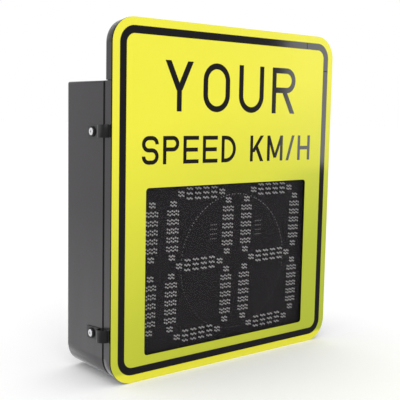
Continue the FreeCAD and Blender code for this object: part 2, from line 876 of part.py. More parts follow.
def clamp(level, side):
    """Makes one bulged strap, foot on the frame and pad on the housing, turned a little about its bolt."""
    label = f"clamp_{level}_{side}"
    sign = SIDES[side]
    middle, turn = {
        "upper": ("clamp_high", "clamp_turn_high"),
        "lower": ("clamp_low", "clamp_turn_low"),
    }[level]
    bottom = f"{middle} - clamp_height / 2"
    wall = f"{sign} * side_x"
    face = wall if sign > 0 else f"{wall} - clamp_thick"
    end = "clamp_bulge - clamp_thick"
    front = "y_frame + clamp_front"
    plates = [
        box(label + "_pad", (face, f"y_bulge + {end}", bottom), ("clamp_thick", "clamp_pad", "clamp_height")),
        box(
            label + "_foot", (face, front, bottom),
            ("clamp_thick", f"y_bulge - ({end}) - ({front})", "clamp_height"),
        ),
    ]
    halves = []
    for name, radius in (("outside", "clamp_bulge"), ("inside", end)):
        half = rod(f"{label}_{name}", "z", (wall, "y_bulge", bottom), radius, "clamp_height")
        half.Angle = 180
        half.Placement = Placement(half.Placement.Base, Rotation(Vector(0, 0, 1), -90 * sign))
        halves.append(half)
    strap = fuse(label + "_strap", plates + halves[:1])
    start = (face, "y_clamp_bolt", middle)
    hole = rod(label + "_hole", "x", start, "bolt_radius + hole_clearance", "clamp_thick")
    piece = cut(label, strap, [halves[1], hole])
    lean = Rotation(Vector(1, 0, 0), -size(turn))
    piece.Placement = Placement(Vector(), lean, point("0", "y_clamp_bolt", middle))
    return piece


def at_clamps(shape, out):
    """Places a shape at each clamp's bolt, a distance out from the housing and pointing in."""
    reach, along = size("side_x") + out, size("y_clamp_bolt")
    return [
        placed(shape, Vector(sign * reach, along, size(up)), Vector(-sign, 0, 0))
        for sign in SIDES.values()
        for up in ("clamp_low", "clamp_high")
    ]


def clamp_bolts():
    """Makes the bolts with low flat heads and six-sided sockets."""
    length = size("washer_thick + clamp_thick + housing_wall + nut_height + bolt_spare")
    height = size("bolt_head_height")
    blank = screw(size("bolt_radius"), length, size("bolt_head_radius"), height, size("bolt_head_round"))
    bolt = blank.cut(hexagon(size("bolt_socket_radius"), size("bolt_socket_depth"), -height))
    return group("clamp_bolts", at_clamps(bolt, size("clamp_thick + washer_thick")))


def clamp_washers():
    """Makes the washers under the clamp bolts."""
    washer = Part.makeCylinder(size("washer_radius"), size("washer_thick"))
    washer = washer.cut(Part.makeCylinder(size("bolt_radius + hole_clearance"), size("washer_thick")))
    return group("clamp_washers", at_clamps(washer, size("clamp_thick + washer_thick")))


def clamp_nuts():
    """Makes the nuts fixed inside the housing's sides."""
    piece = nut(size("nut_radius"), size("nut_height"), size("bolt_radius + thread_clearance"))
    return group("clamp_nuts", at_clamps(piece, -size("housing_wall")))


# Display


def rail_ends():
    """Lists the heights of the screws at a rail's ends."""
    edge = "rail_end + rail_screw_edge"
    return [f"rim_inset + {edge}", f"frame_top - ({edge})"]


def board_screw_heights():
    """Lists the heights of the screws along each edge of the display board."""
    rises = ("board_margin", "board_height / 2", "board_height - board_margin")
    return [f"board_bottom + {rise}" for rise in rises]


def display_rail(side):
    """Makes one upright rail that carries the display board."""
    label = "display_rail_" + side
    middle = f"{SIDES[side]} * rail_x"
    corner = (f"{middle} - rail_width / 2", "y_rail", "rim_inset + rail_end")
    blank = box(label + "_bar", corner, ("rail_width", "rail_thick", "frame_height - 2 * rail_end"))
    bore, tap = "screw_radius + hole_clearance", "screw_radius + thread_clearance"
    holes = [
        rod(f"{label}_end_{index}", "y", (middle, "y_rail", up), bore, "rail_thick")
        for index, up in enumerate(rail_ends())
    ]
    depth = "screw_grip - board_thick + thread_clearance"
    holes += [
        rod(f"{label}_tap_{index}", "y", (middle, f"y_board - ({depth})", up), tap, depth)
        for index, up in enumerate(board_screw_heights())
    ]
    return cut(label, blank, holes)


def small_screws(label, places, along, direction, length):
    """Makes a group of small round-headed screws."""
    piece = screw(size("screw_radius"), length, size("screw_head_radius"), size("screw_head_height"))
    return group(label, [placed(piece, point(across, along, up), direction) for across, up in places])


def rail_screws():
    """Makes the screws that hold the rails to the frame."""
    places = [(f"{sign} * rail_x", up) for sign in SIDES.values() for up in rail_ends()]
    return small_screws("rail_screws", places, "y_board", FRONT, size("rail_thick + frame_wall"))


def board_screws():
    """Makes the screws that hold the display board to the rails."""
    places = [(f"{sign} * rail_x", up) for sign in SIDES.values() for up in board_screw_heights()]
    return small_screws("board_screws", places, "y_board + board_thick", FRONT, size("screw_grip"))


def display_board():
    """Makes the black circuit board that the lights sit on."""
    body = DOC.addObject("PartDesign::Body", "display_board")
    edge = outline(
        body, "board_edge", "y_board", "board_bottom", "2 * board_half", "board_height", None, None
    )
    pad(body, edge, "board_thick")
    holes = [
        (f"{sign} * rail_x", up, "screw_radius + hole_clearance")
        for sign in SIDES.values()
        for up in board_screw_heights()
    ]
    drill(body, "board_holes", "XZ_Plane", ("0", "0", "-y_board"), holes, "board_thick")
    return body


def column_places():
    """Lists the middle of each upright column of lights, from left to right."""
    wide, gap = size("digit_width"), size("digit_gap")
    first = size("display_shift") - wide - gap
    return [first, first + gap, first + gap + wide, first + 2 * gap + wide, first + 2 * (gap + wide)]


def light_row(across, up, count, pitch):
    """Makes one zigzag row of lights on the board, standing out to the front."""
    half, swing = size("led_size") / 2, size("led_zigzag")
    leaned = across + size("digit_lean") * (up - size("digit_middle")) / size("segment_spacing")
    middles = [
        (leaned + pitch * (index - (count - 1) / 2), up + (-swing if index % 2 else swing))
        for index in range(count)
    ]
    ends = [-half] + [0.0] * (count - 2) + [half]
    upper = [(x + shift, z + half) for (x, z), shift in zip(middles, ends)]
    lower = [(x + shift, z - half) for (x, z), shift in zip(middles, ends)]
    loop = upper + lower[::-1] + upper[:1]
    face = Part.Face(Part.makePolygon([Vector(x, size("y_board"), z) for x, z in loop]))
    return face.extrude(Vector(0, -size("led_height"), 0))


def paired_rows(across, up, count, pitch):
    """Makes two rows of lights, one above the other."""
    half = size("pair_spacing") / 2
    return [light_row(across, up + shift, count, pitch) for shift in (half, -half)]


def column_lights(across):
    """Makes an upright column of two segments: wide groups, with narrow ones at the ends."""
    rows = []
    for middle in (size("digit_middle + segment_spacing / 2"), size("digit_middle - segment_spacing / 2")):
        for index in range(COLUMN_GROUPS):
            up = middle + size("column_group_pitch") * (index - (COLUMN_GROUPS - 1) / 2)
            if index in (0, COLUMN_GROUPS - 1):
                rows += paired_rows(across, up, NARROW_LIGHTS, size("bar_led_pitch"))
            else:
                rows += paired_rows(across, up, WIDE_LIGHTS, size("column_led_pitch"))
    return rows


def bar_lights(across, up):
    """Makes a level segment: three rows of groups, with a pair at each end."""
    rows = []
    for index in range(BAR_GROUPS):
        middle = across + size("bar_group_pitch") * (index - (BAR_GROUPS - 1) / 2)
        if index in (0, BAR_GROUPS - 1):
            rows += paired_rows(middle, up, NARROW_LIGHTS, size("bar_led_pitch"))
            continue
        for step in (-1, 0, 1):
            level = up + step * size("bar_row_pitch")
            rows.append(light_row(middle, level, NARROW_LIGHTS, size("bar_led_pitch")))
    return rows


def digit_lights(label, left, right):
    """Makes the seven segments of one digit."""
    rows = column_lights(left) + column_lights(right)
    for step in (-1, 0, 1):
        rows += bar_lights((left + right) / 2, size("digit_middle") + step * size("segment_spacing"))
    return group(label, rows)


def dot(across, up):
    """Makes one single light on the board."""
    wide = size("dot_size")
    corner = Vector(across - wide / 2, size("y_board - led_height / 2"), up - wide / 2)
    return Part.makeBox(wide, size("led_height / 2"), wide, corner)


def ring_leds(digits):
    """Makes the ring of paired lights round both digits, broken at their rows, and short rows inside it."""
    columns = column_places()
    middle = (columns[2] + columns[3]) / 2
    radius = size("ring_radius")
    count = int(2 * math.pi * radius / size("ring_pair_pitch"))
    half = size("ring_pair_gap") / radius / 2
    across, up = middle + size("ring_shift"), size("digit_middle - ring_drop")
    dots = []
    for index in range(count):
        pair = 2 * math.pi * (index + RING_START) / count
        for angle in (pair - half, pair + half):
            dots.append(dot(across + radius * math.sin(angle), up + radius * math.cos(angle)))
    for sign in SIDES.values():
        for row in range(DASH_ROWS):
            up = size("digit_middle + dash_above") + row * size("dash_row_pitch")
            for index in range(DASH_DOTS):
                step = size("dash_dot_pitch") * (index - (DASH_DOTS - 1) / 2)
                dots.append(dot(middle + sign * size("dash_across") + step, up))
    taken = [row.BoundBox for digit in digits for row in digit.Shape.Solids]
    clear = [piece for piece in dots if not any(piece.BoundBox.intersect(row) for row in taken)]
    return group("ring_leds", clear)


# Controller


def controller_corners():
    """Lists the screw places of the controller board."""
    across, up = "controller_width / 2 - standoff_edge", "controller_height / 2 - standoff_edge"
    return [
        (f"{sign} * ({across})", f"controller_middle + {lift} * ({up})")
        for sign in SIDES.values()
        for lift in (-1, 1)
    ]


def controller_board():
    """Makes the board behind the display."""
    corner = ("-controller_width / 2", "y_control", "controller_middle - controller_height / 2")
    blank = box("controller_sheet", corner, ("controller_width", "board_thick", "controller_height"))
    bore = "control_screw_radius + hole_clearance"
    holes = [
        rod(f"controller_hole_{index}", "y", (across, "y_control", up), bore, "board_thick")
        for index, (across, up) in enumerate(controller_corners())
    ]
    return cut("controller_board", blank, holes)


def controller_standoffs():
    """Makes the tapped spacers between the two boards."""
    length = size("standoff_length")
    spacer = Part.makeCylinder(size("standoff_radius"), length)
    spacer = spacer.cut(Part.makeCylinder(size("control_screw_radius + thread_clearance"), length))
    places = [point(across, "y_board + board_thick", up) for across, up in controller_corners()]
    return group("controller_standoffs", [placed(spacer, place, REAR) for place in places])


def controller_screws():
    """Makes the screws of the controller board."""
    length = size("board_thick + standoff_length / 2")
    piece = screw(
        size("control_screw_radius"), length, size("control_head_radius"), size("control_head_height")
    )
    places = [point(across, "y_chips", up) for across, up in controller_corners()]
    return group("controller_screws", [placed(piece, place, FRONT) for place in places])


def controller_chips():
    """Makes the chips and capacitors on the controller board."""
    wide, tall = size("chip_size"), size("chip_height")
    middle = size("controller_middle")
    pieces = []
    for step in CHIP_STEPS:
        pieces.append(Part.makeBox(wide, tall, wide, Vector(step * wide - wide / 2, size("y_chips"), middle)))
    can = Part.makeCylinder(size("can_radius"), size("can_height"))
    for step in CAN_STEPS:
        pieces.append(placed(can, Vector(step * wide, size("y_chips"), middle - wide), REAR))
    return group("controller_chips", pieces)


def controller_terminals():
    """Makes the terminal blocks at the board's lower and upper edges."""
    long, deep, tall = size("terminal_length"), size("terminal_depth"), size("terminal_height")
    edges = (
        ("display_lead_x", "controller_middle - controller_height / 2"),
        ("radar_lead_across", "controller_middle + controller_height / 2 - terminal_height"),
    )
    blocks = []
    for across, up in edges:
        corner = point(f"{across} - terminal_length / 2", "y_chips", up)
        blocks.append(Part.makeBox(long, deep, tall, corner))
    return group("controller_terminals", blocks)


# Radar unit


def radar_screw_places():
    """Lists the screw places of the radar unit."""
    across, up = "radar_width / 2 - radar_screw_edge", "radar_height / 2 - radar_screw_edge"
    return [
        (f"{sign} * ({across})", f"radar_bottom + radar_height / 2 + {lift} * ({up})")
        for sign in SIDES.values()
        for lift in (-1, 1)
    ]


def radar_module():
    """Makes the radar unit's case, on the hood's back wall."""
    corner = ("-radar_width / 2", "y_hood_inner - radar_depth", "radar_bottom")
    blank = box("radar_case", corner, ("radar_width", "radar_depth", "radar_height"))
    start, bore = "y_hood_inner - radar_depth", "control_screw_radius + hole_clearance"
    holes = [
        rod(f"radar_hole_{index}", "y", (across, start, up), bore, "radar_depth")
        for index, (across, up) in enumerate(radar_screw_places())
    ]
    return cut("radar_module", blank, holes)


def radar_antenna():
    """Makes the antenna board on the front of the radar unit."""
    margin = "antenna_margin + radar_screw_edge"
    front = "y_hood_inner - radar_depth - antenna_thick"
    corner = (f"-radar_width / 2 + {margin}", front, f"radar_bottom + {margin}")
    extent = (f"radar_width - 2 * ({margin})", "antenna_thick", f"radar_height - 2 * ({margin})")
    return box("radar_antenna", corner, extent)


def radar_screws():
    """Makes the screws that hold the radar unit to the hood."""
    piece = screw(
        size("control_screw_radius"), size("radar_depth + frame_wall"),
        size("control_head_radius"), size("control_head_height"),
    )
    places = [point(across, "y_hood_inner - radar_depth", up) for across, up in radar_screw_places()]
    return group("radar_screws", [placed(piece, place, REAR) for place in places])


# Batteries


def battery_tray():
    """Makes the folded tray on the housing's floor."""
    half = "battery_gap / 2 + battery_width + tray_side"
    front = "y_battery - tray_clear - tray_thick"
    corner, wide = (f"-({half})", front, "floor_top"), f"2 * ({half})"
    floor = box("tray_floor", corner, (wide, f"y_inner - ({front})", "tray_thick"))
    lip = box("tray_lip_plate", corner, (wide, "tray_thick", "tray_lip"))
    return fuse("battery_tray", [floor, lip])


def battery(side):
    """Makes one sealed battery."""
    left = "battery_gap / 2" if SIDES[side] > 0 else "-battery_gap / 2 - battery_width"
    corner = (left, "y_battery", "battery_bottom")
    return box("battery_" + side, corner, ("battery_width", "battery_depth", "battery_height"))


def battery_post_places():
    """Lists the middles of the battery posts; the first one takes the lead."""
    inner, outer = "battery_gap / 2 + post_edge", "battery_gap / 2 + battery_width - post_edge"
    return ["battery_lead_x", f"-({outer})", inner, outer]


def battery_terminals():
    """Makes the posts on top of the batteries."""
    wide, deep, tall = size("post_width"), size("post_depth"), size("post_height")
    posts = []
    for across in battery_post_places():
        corner = Vector(size(across) - wide / 2, size("y_charge") - deep / 2, size("battery_top"))
        posts.append(Part.makeBox(wide, deep, tall, corner))
    return group("battery_terminals", posts)


def strap_screw_places():
    """Lists the screw places of the battery strap's feet."""
    across = "battery_gap / 2 + battery_width + strap_foot / 2 + strap_thick"
    return [(f"{sign} * ({across})", "strap_height + strap_width / 2") for sign in SIDES.values()]


def battery_strap():
    """Makes the strip that holds both batteries to the housing's back."""
    half = "battery_gap / 2 + battery_width"
    front = "y_battery - strap_thick"
    strips = [
        box(
            "strap_front", (f"-({half}) - strap_thick", front, "strap_height"),
            (f"2 * ({half} + strap_thick)", "strap_thick", "strap_width"),
        )
    ]
    for side, sign in SIDES.items():
        leg = half if sign > 0 else f"-({half}) - strap_thick"
        foot = half if sign > 0 else f"-({half}) - strap_foot - strap_thick"
        leg_size = ("strap_thick", f"y_inner - ({front})", "strap_width")
        foot_size = ("strap_foot + strap_thick", "strap_thick", "strap_width")
        strips.append(box(f"strap_leg_{side}", (leg, front, "strap_height"), leg_size))
        strips.append(box(f"strap_foot_{side}", (foot, "y_inner - strap_thick", "strap_height"), foot_size))
    start, bore = "y_inner - strap_thick", "screw_radius + hole_clearance"
    holes = [
        rod(f"strap_hole_{index}", "y", (across, start, up), bore, "strap_thick")
        for index, (across, up) in enumerate(strap_screw_places())
    ]
    return cut("battery_strap", fuse("strap_blank", strips), holes)


def strap_screws():
    """Makes the screws of the battery strap."""
    length = size("strap_thick + housing_wall")
    return small_screws("strap_screws", strap_screw_places(), "y_inner - strap_thick", REAR, length)


# Charge controller


def charge_screw_places():
    """Lists the screw places of the charge controller's ears."""
    across = "charge_width / 2 + charge_ear / 2"
    return [(f"charge_across + {sign} * ({across})", "charge_middle") for sign in SIDES.values()]


def charge_controller():
    """Makes the finned case with an ear on each side."""
    left = "charge_across - charge_width / 2"
    base = "charge_depth - charge_fin"
    corner = (left, f"y_inner - ({base})", "charge_bottom")
    ear_corner = (f"{left} - charge_ear", "y_inner - charge_ear_thick", "charge_middle - charge_ear")
    ear_size = ("charge_width + 2 * charge_ear", "charge_ear_thick", "2 * charge_ear")
    solids = [
        box("charge_case", corner, ("charge_width", base, "charge_height")),
        box("charge_ears", ear_corner, ear_size),
    ]
    for index in range(CHARGE_FINS):
        across = f"{left} + (charge_width - charge_fin_thick) * {index} / {CHARGE_FINS - 1}"
        corner = (across, "y_inner - charge_depth", "charge_bottom")
        solids.append(box(f"charge_fin_{index}", corner, ("charge_fin_thick", "charge_fin", "charge_height")))
    holes = [
        rod(
            f"charge_hole_{index}", "y", (across, "y_inner - charge_ear_thick", up),
            "screw_radius + hole_clearance", "charge_ear_thick",
        )
        for index, (across, up) in enumerate(charge_screw_places())
    ]
    return cut("charge_controller", fuse("charge_blank", solids), holes)


def charge_terminals():
    """Makes the terminal block under the charge controller."""
    corner = (
        "battery_lead_x - terminal_depth", "y_charge - terminal_depth / 2", "charge_bottom - terminal_height"
    )
    extent = ("display_lead_x - battery_lead_x + 2 * terminal_depth", "terminal_depth", "terminal_height")
    return box("charge_terminals", corner, extent)


def charge_screws():
    """Makes the screws of the charge controller."""
    length = size("charge_ear_thick + housing_wall")
    return small_screws("charge_screws", charge_screw_places(), "y_inner - charge_ear_thick", REAR, length)


# Leads inside, each of straight runs joined by tangent arcs


def lead(label, points):
    """Makes a round lead along a route with one bend radius."""
    bend = size("lead_bend")
    edges, start = [], points[0]
    for before, corner, after in zip(points, points[1:], points[2:]):
        inward, outward = (before - corner).normalize(), (after - corner).normalize()
        half = inward.getAngle(outward) / 2
        setback = bend / math.tan(half)
        near, far = corner + inward * setback, corner + outward * setback
        bisector = (inward + outward).normalize()
        crown = corner + bisector * (bend / math.sin(half) - bend)
        edges.append(Part.LineSegment(start, near).toShape())
        edges.append(Part.Arc(near, crown, far).toShape())
        start = far
    edges.append(Part.LineSegment(start, points[-1]).toShape())
    route = Part.Wire(edges)
    direction = points[1] - points[0]
    section = Part.Wire(Part.makeCircle(size("lead_radius"), points[0], direction))
    tube = route.makePipeShell([section], True, False)
    expected = math.pi * size("lead_radius") ** 2 * route.Length
    if abs(tube.Volume - expected) > 0.01 * expected:
        raise RuntimeError(label + " has the wrong volume")
    return group(label, [tube])


def battery_lead():
    """Makes the lead from a battery post straight up to the charge controller."""
    start = point("battery_lead_x", "y_charge", "battery_top + post_height")
    end = point("battery_lead_x", "y_charge", "charge_bottom - terminal_height")
    return lead("battery_lead", [start, end])


def display_lead():
    """Makes the lead from the charge controller down, forward and up to the controller board."""
    y_terminal = "y_chips + terminal_depth / 2"
    low = "controller_middle - controller_height / 2 - lead_dip"
    return lead(
        "display_lead",
        [
            point("display_lead_x", "y_charge", "charge_bottom - terminal_height"),
            point("display_lead_x", "y_charge", low),
            point("display_lead_x", y_terminal, low),
            point("display_lead_x", y_terminal, "controller_middle - controller_height / 2"),
        ],
    )


def radar_lead():
    """Makes the lead from the controller board up through frame and hood to the radar unit."""
    y_terminal = "y_chips + terminal_depth / 2"
    return lead(
        "radar_lead",
        [
            point("radar_lead_across", y_terminal, "controller_middle + controller_height / 2"),
            point("radar_lead_across", y_terminal, "frame_top - radar_lead_low"),
            point("radar_lead_across", "y_hood_bolt", "frame_top - radar_lead_high"),
            point("radar_lead_across", "y_hood_bolt", "radar_bottom"),
        ],
    )


# Hood fastening


def hood_bolts():
    """Makes the bolts that join frame and hood."""
    length = size("2 * frame_wall + seal_thick + hood_nut_height")
    piece = screw(size("hood_bolt_radius"), length, size("hood_head_radius"), size("hood_head_height"))
    places = [point(across, "y_hood_bolt", "frame_top - frame_wall") for across in hood_bolt_places()]
    return group("hood_bolts", [placed(piece, place, UP) for place in places])


def hood_nuts():
    """Makes the nuts of those bolts, on the hood's floor."""
    piece = nut(size("hood_nut_radius"), size("hood_nut_height"), size("hood_bolt_radius + thread_clearance"))
    places = [point(across, "y_hood_bolt", "hood_bottom + frame_wall") for across in hood_bolt_places()]
    return group("hood_nuts", [placed(piece, place, UP) for place in places])


# Bars and fittings on the back


def pattern(spacing):
    """Lists four places, a spacing apart across and one at each end of each bar."""
    return [(f"{sign} * {spacing} / 2", up) for sign in SIDES.values() for up in ("bar_low", "bar_high")]


def mount_places():
    """Lists the holes that take the pole bracket's bolts."""
    return pattern("mount_spacing")


def bar_bolt_places():
    """Lists the bolts that hold the bars to the housing."""
    return pattern("bar_bolt_spacing")


def countersink(name, across, up):
    """Makes the tapered seat of one flush bolt, wide at the rear."""
    cone = DOC.addObject("Part::Cone", name)
    cone.Placement = Placement(Vector(), AXIS_TURNS["y"])
    deep = "bar_head_radius - bar_bolt_radius"
    for letter, text in zip("xyz", (across, f"y_back + bar_thick - ({deep})", up)):
        cone.setExpression("Placement.Base." + letter, formula(text))
    cone.setExpression("Radius1", formula("bar_bolt_radius + hole_clearance"))
    cone.setExpression("Radius2", formula("bar_head_radius + hole_clearance"))
    cone.setExpression("Height", formula(deep))
    return cone


def mount_bar(level):
    """Makes one flat bar with two mounting holes and two flush bolt holes."""
    label = level + "_mount_bar"
    middle = {"upper": "bar_high", "lower": "bar_low"}[level]
    body = box(
        label + "_flat", ("-bar_length / 2", "y_back", f"{middle} - bar_height / 2"),
        ("bar_length", "bar_thick", "bar_height"),
    )
    cuts = []
    for side, sign in SIDES.items():
        mount, bolt = f"{sign} * mount_spacing / 2", f"{sign} * bar_bolt_spacing / 2"
        bores = (("mount", mount, "mount_hole_radius"), ("bolt", bolt, "bar_bolt_radius + hole_clearance"))
        for name, across, radius in bores:
            cuts.append(rod(f"{label}_{name}_{side}", "y", (across, "y_back", middle), radius, "bar_thick"))
        cuts.append(countersink(f"{label}_seat_{side}", bolt, middle))
    return cut(label, body, cuts)


def bar_bolts():
    """Makes the flush bolts of the bars."""
    radius, head = size("bar_bolt_radius"), size("bar_head_radius")
    length = size("bar_thick + housing_wall + bar_nut_height")
    taper = head - radius
    bolt = turned([(0, 0), (head, 0), (radius, taper), (radius, length), (0, length)])
    places = [point(across, "y_back + bar_thick", up) for across, up in bar_bolt_places()]
    return group("bar_bolts", [placed(bolt, place, FRONT) for place in places])


def inner_nuts(label, places, radius, height, bore):
    """Makes nuts against the inside of the housing's back."""
    piece = nut(size(radius), size(height), size(bore))
    return group(label, [placed(piece, point(across, "y_inner", up), FRONT) for across, up in places])


def bar_nuts():
    """Makes the nuts of the bars' own bolts."""
    bore = "bar_bolt_radius + thread_clearance"
    return inner_nuts("bar_nuts", bar_bolt_places(), "bar_nut_radius", "bar_nut_height", bore)


def mount_nuts():
    """Makes the fixed nuts that take the pole bracket's bolts."""
    bore = "mount_hole_radius - hole_clearance"
    return inner_nuts("mount_nuts", mount_places(), "mount_nut_radius", "mount_nut_height", bore)


def cable_grommet():
    """Makes the closed rubber grommet of the cable entry."""
    neck, flange, thick = size("grommet_neck"), size("grommet_flange"), size("grommet_thick")
    wall = size("housing_wall")
    profile = [
        (0, 0), (flange - thick, 0), (flange, thick), (neck, thick), (neck, thick + wall),
        (flange - thick / 2, thick + wall), (neck, 2 * thick + wall), (0, 2 * thick + wall),
    ]
    place = point("entry_across", "y_back + grommet_thick", "entry_height")
    return group("cable_grommet", [placed(turned(profile), place, FRONT)])


def vent_plug():
    """Makes the low breather plug."""
    neck, flange, thick = size("vent_neck"), size("vent_flange"), size("vent_thick")
    profile = [(0, 0), (flange - thick / 2, 0), (flange, thick / 2), (flange, thick), (neck, thick)]
    end = thick + size("housing_wall")
    profile += [(neck, end), (0, end)]
    place = point("-entry_across", "y_back + vent_thick", "entry_height")
    return group("vent_plug", [placed(turned(profile), place, FRONT)])


def build_nodes():
    """Builds every piece and gives the list of them."""
    columns = column_places()
    digits = [
        digit_lights("tens_leds", columns[1], columns[2]),
        digit_lights("units_leds", columns[3], columns[4]),
    ]
    return [
        face_panel("reflective_sheeting", "y_sheeting", "sheeting_thick"),
        face_panel("face_plate", "y_plate", "plate_thick"),
        face_ring("border_stripe", "y_film", "film_thick", "border_inset", "border_width"),
        face_ring("bonding_tape", "y_tape", "tape_thick", "tape_inset", "tape_width"),
        legend_letters(),
        display_lens(),
        front_frame(),
        upper_hood(),
        hood_seal(),
        hood_bolts(),
        hood_nuts(),
        frame_gasket(),
        rear_housing(),
        *[clamp(level, side) for level in ("upper", "lower") for side in SIDES],
        clamp_bolts(),
        clamp_washers(),
        clamp_nuts(),
        *[display_rail(side) for side in SIDES],
        rail_screws(),
        display_board(),
        board_screws(),
        group("hundreds_leds", column_lights(columns[0])),
        *digits,
        ring_leds(digits),
        controller_board(),
        controller_standoffs(),
        controller_screws(),
        controller_chips(),
        controller_terminals(),
        radar_module(),
        radar_antenna(),
        radar_screws(),
        battery_tray(),
        *[battery(side) for side in SIDES],
        battery_terminals(),
        battery_strap(),
        strap_screws(),
        charge_controller(),
        charge_terminals(),
        charge_screws(),
        battery_lead(),
        display_lead(),
        radar_lead(),
        *[mount_bar(level) for level in ("upper", "lower")],
        bar_bolts(),
        bar_nuts(),
        mount_nuts(),
        cable_grommet(),
        vent_plug(),
    ]


def check(nodes):
    """Stops if any object failed or any piece has no sound shape."""
    failed = [item.Name for item in DOC.Objects if {"Invalid", "Error"} & set(item.State)]
    if failed:
        raise RuntimeError("failed objects: " + ", ".join(failed))
    for node in nodes:
        if node.Shape.isNull() or not node.Shape.isValid() or not node.Shape.Solids:
            raise RuntimeError(node.Label + " has no sound shape")


def main():
    """Builds the sign and writes one file for each piece."""
    make_sheet()
    make_levels()
    nodes = build_nodes()
    DOC.recompute()
    check(nodes)
    os.makedirs("parts", exist_ok=True)
    for node in nodes:
        node.Shape.exportStep(os.path.join("parts", node.Label + ".step"))


main()
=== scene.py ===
"""Looks of the radar speed sign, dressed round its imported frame."""
import json
import logging
import math
from dataclasses import dataclass, field
from enum import Enum

import bmesh
import bpy
from mathutils import Matrix, Vector


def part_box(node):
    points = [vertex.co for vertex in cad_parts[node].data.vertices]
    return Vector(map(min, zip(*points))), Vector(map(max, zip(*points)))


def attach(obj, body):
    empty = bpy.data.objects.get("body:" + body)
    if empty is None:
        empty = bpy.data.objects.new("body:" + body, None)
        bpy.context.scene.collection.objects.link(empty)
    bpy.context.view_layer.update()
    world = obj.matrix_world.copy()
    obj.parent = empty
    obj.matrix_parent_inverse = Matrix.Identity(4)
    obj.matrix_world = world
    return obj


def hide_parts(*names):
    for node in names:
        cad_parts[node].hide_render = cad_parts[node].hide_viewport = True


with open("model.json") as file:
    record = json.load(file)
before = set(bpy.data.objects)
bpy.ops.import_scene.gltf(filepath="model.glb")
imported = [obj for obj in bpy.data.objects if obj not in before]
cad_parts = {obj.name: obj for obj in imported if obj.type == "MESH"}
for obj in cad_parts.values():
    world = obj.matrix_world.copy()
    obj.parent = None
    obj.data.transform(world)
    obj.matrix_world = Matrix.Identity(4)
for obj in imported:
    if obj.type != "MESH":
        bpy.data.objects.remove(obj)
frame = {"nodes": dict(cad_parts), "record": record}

LOG = logging.getLogger("radar_speed_sign")
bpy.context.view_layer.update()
BODY = "root"
MM = 0.001

# Points of a mesh that lie closer than this are one point
WELD_GAP = 0.002 * MM
# Boxes are put in order by their corners, in metres to this many digits
PLACE_DIGITS = 5
# Edges sharper than this many degrees are broken
EDGE_ANGLE = 50.0

Colour = tuple[float, float, float]
Value = float | tuple | bpy.types.NodeSocket


# Shader nodes


class Effect(Enum):
    """Shader groups that several finishes share."""

    GRAIN = "surface_grain"
    MOTTLE = "colour_mottle"
    DUST_AND_LIGHT = "settled_dust"


class Brush(Enum):
    """Direction in which the fine grain of a surface is drawn out."""

    NONE = (1.0, 1.0, 1.0)
    ALONG_X = (0.02, 1.0, 1.0)


# Noise of the shared effects
NOISE_MIDDLE = 0.5
FINE_DETAIL = 3.0
SLOW_DETAIL = 4.0
MOTTLE_DETAIL = 5.0
DRIFT_SHARE = 0.02
RUN_STRETCH = (30.0, 30.0, 3.0)
RUN_RANGE = (0.2, 0.8)
RUN_LEVELS = (0.75, 1.0)


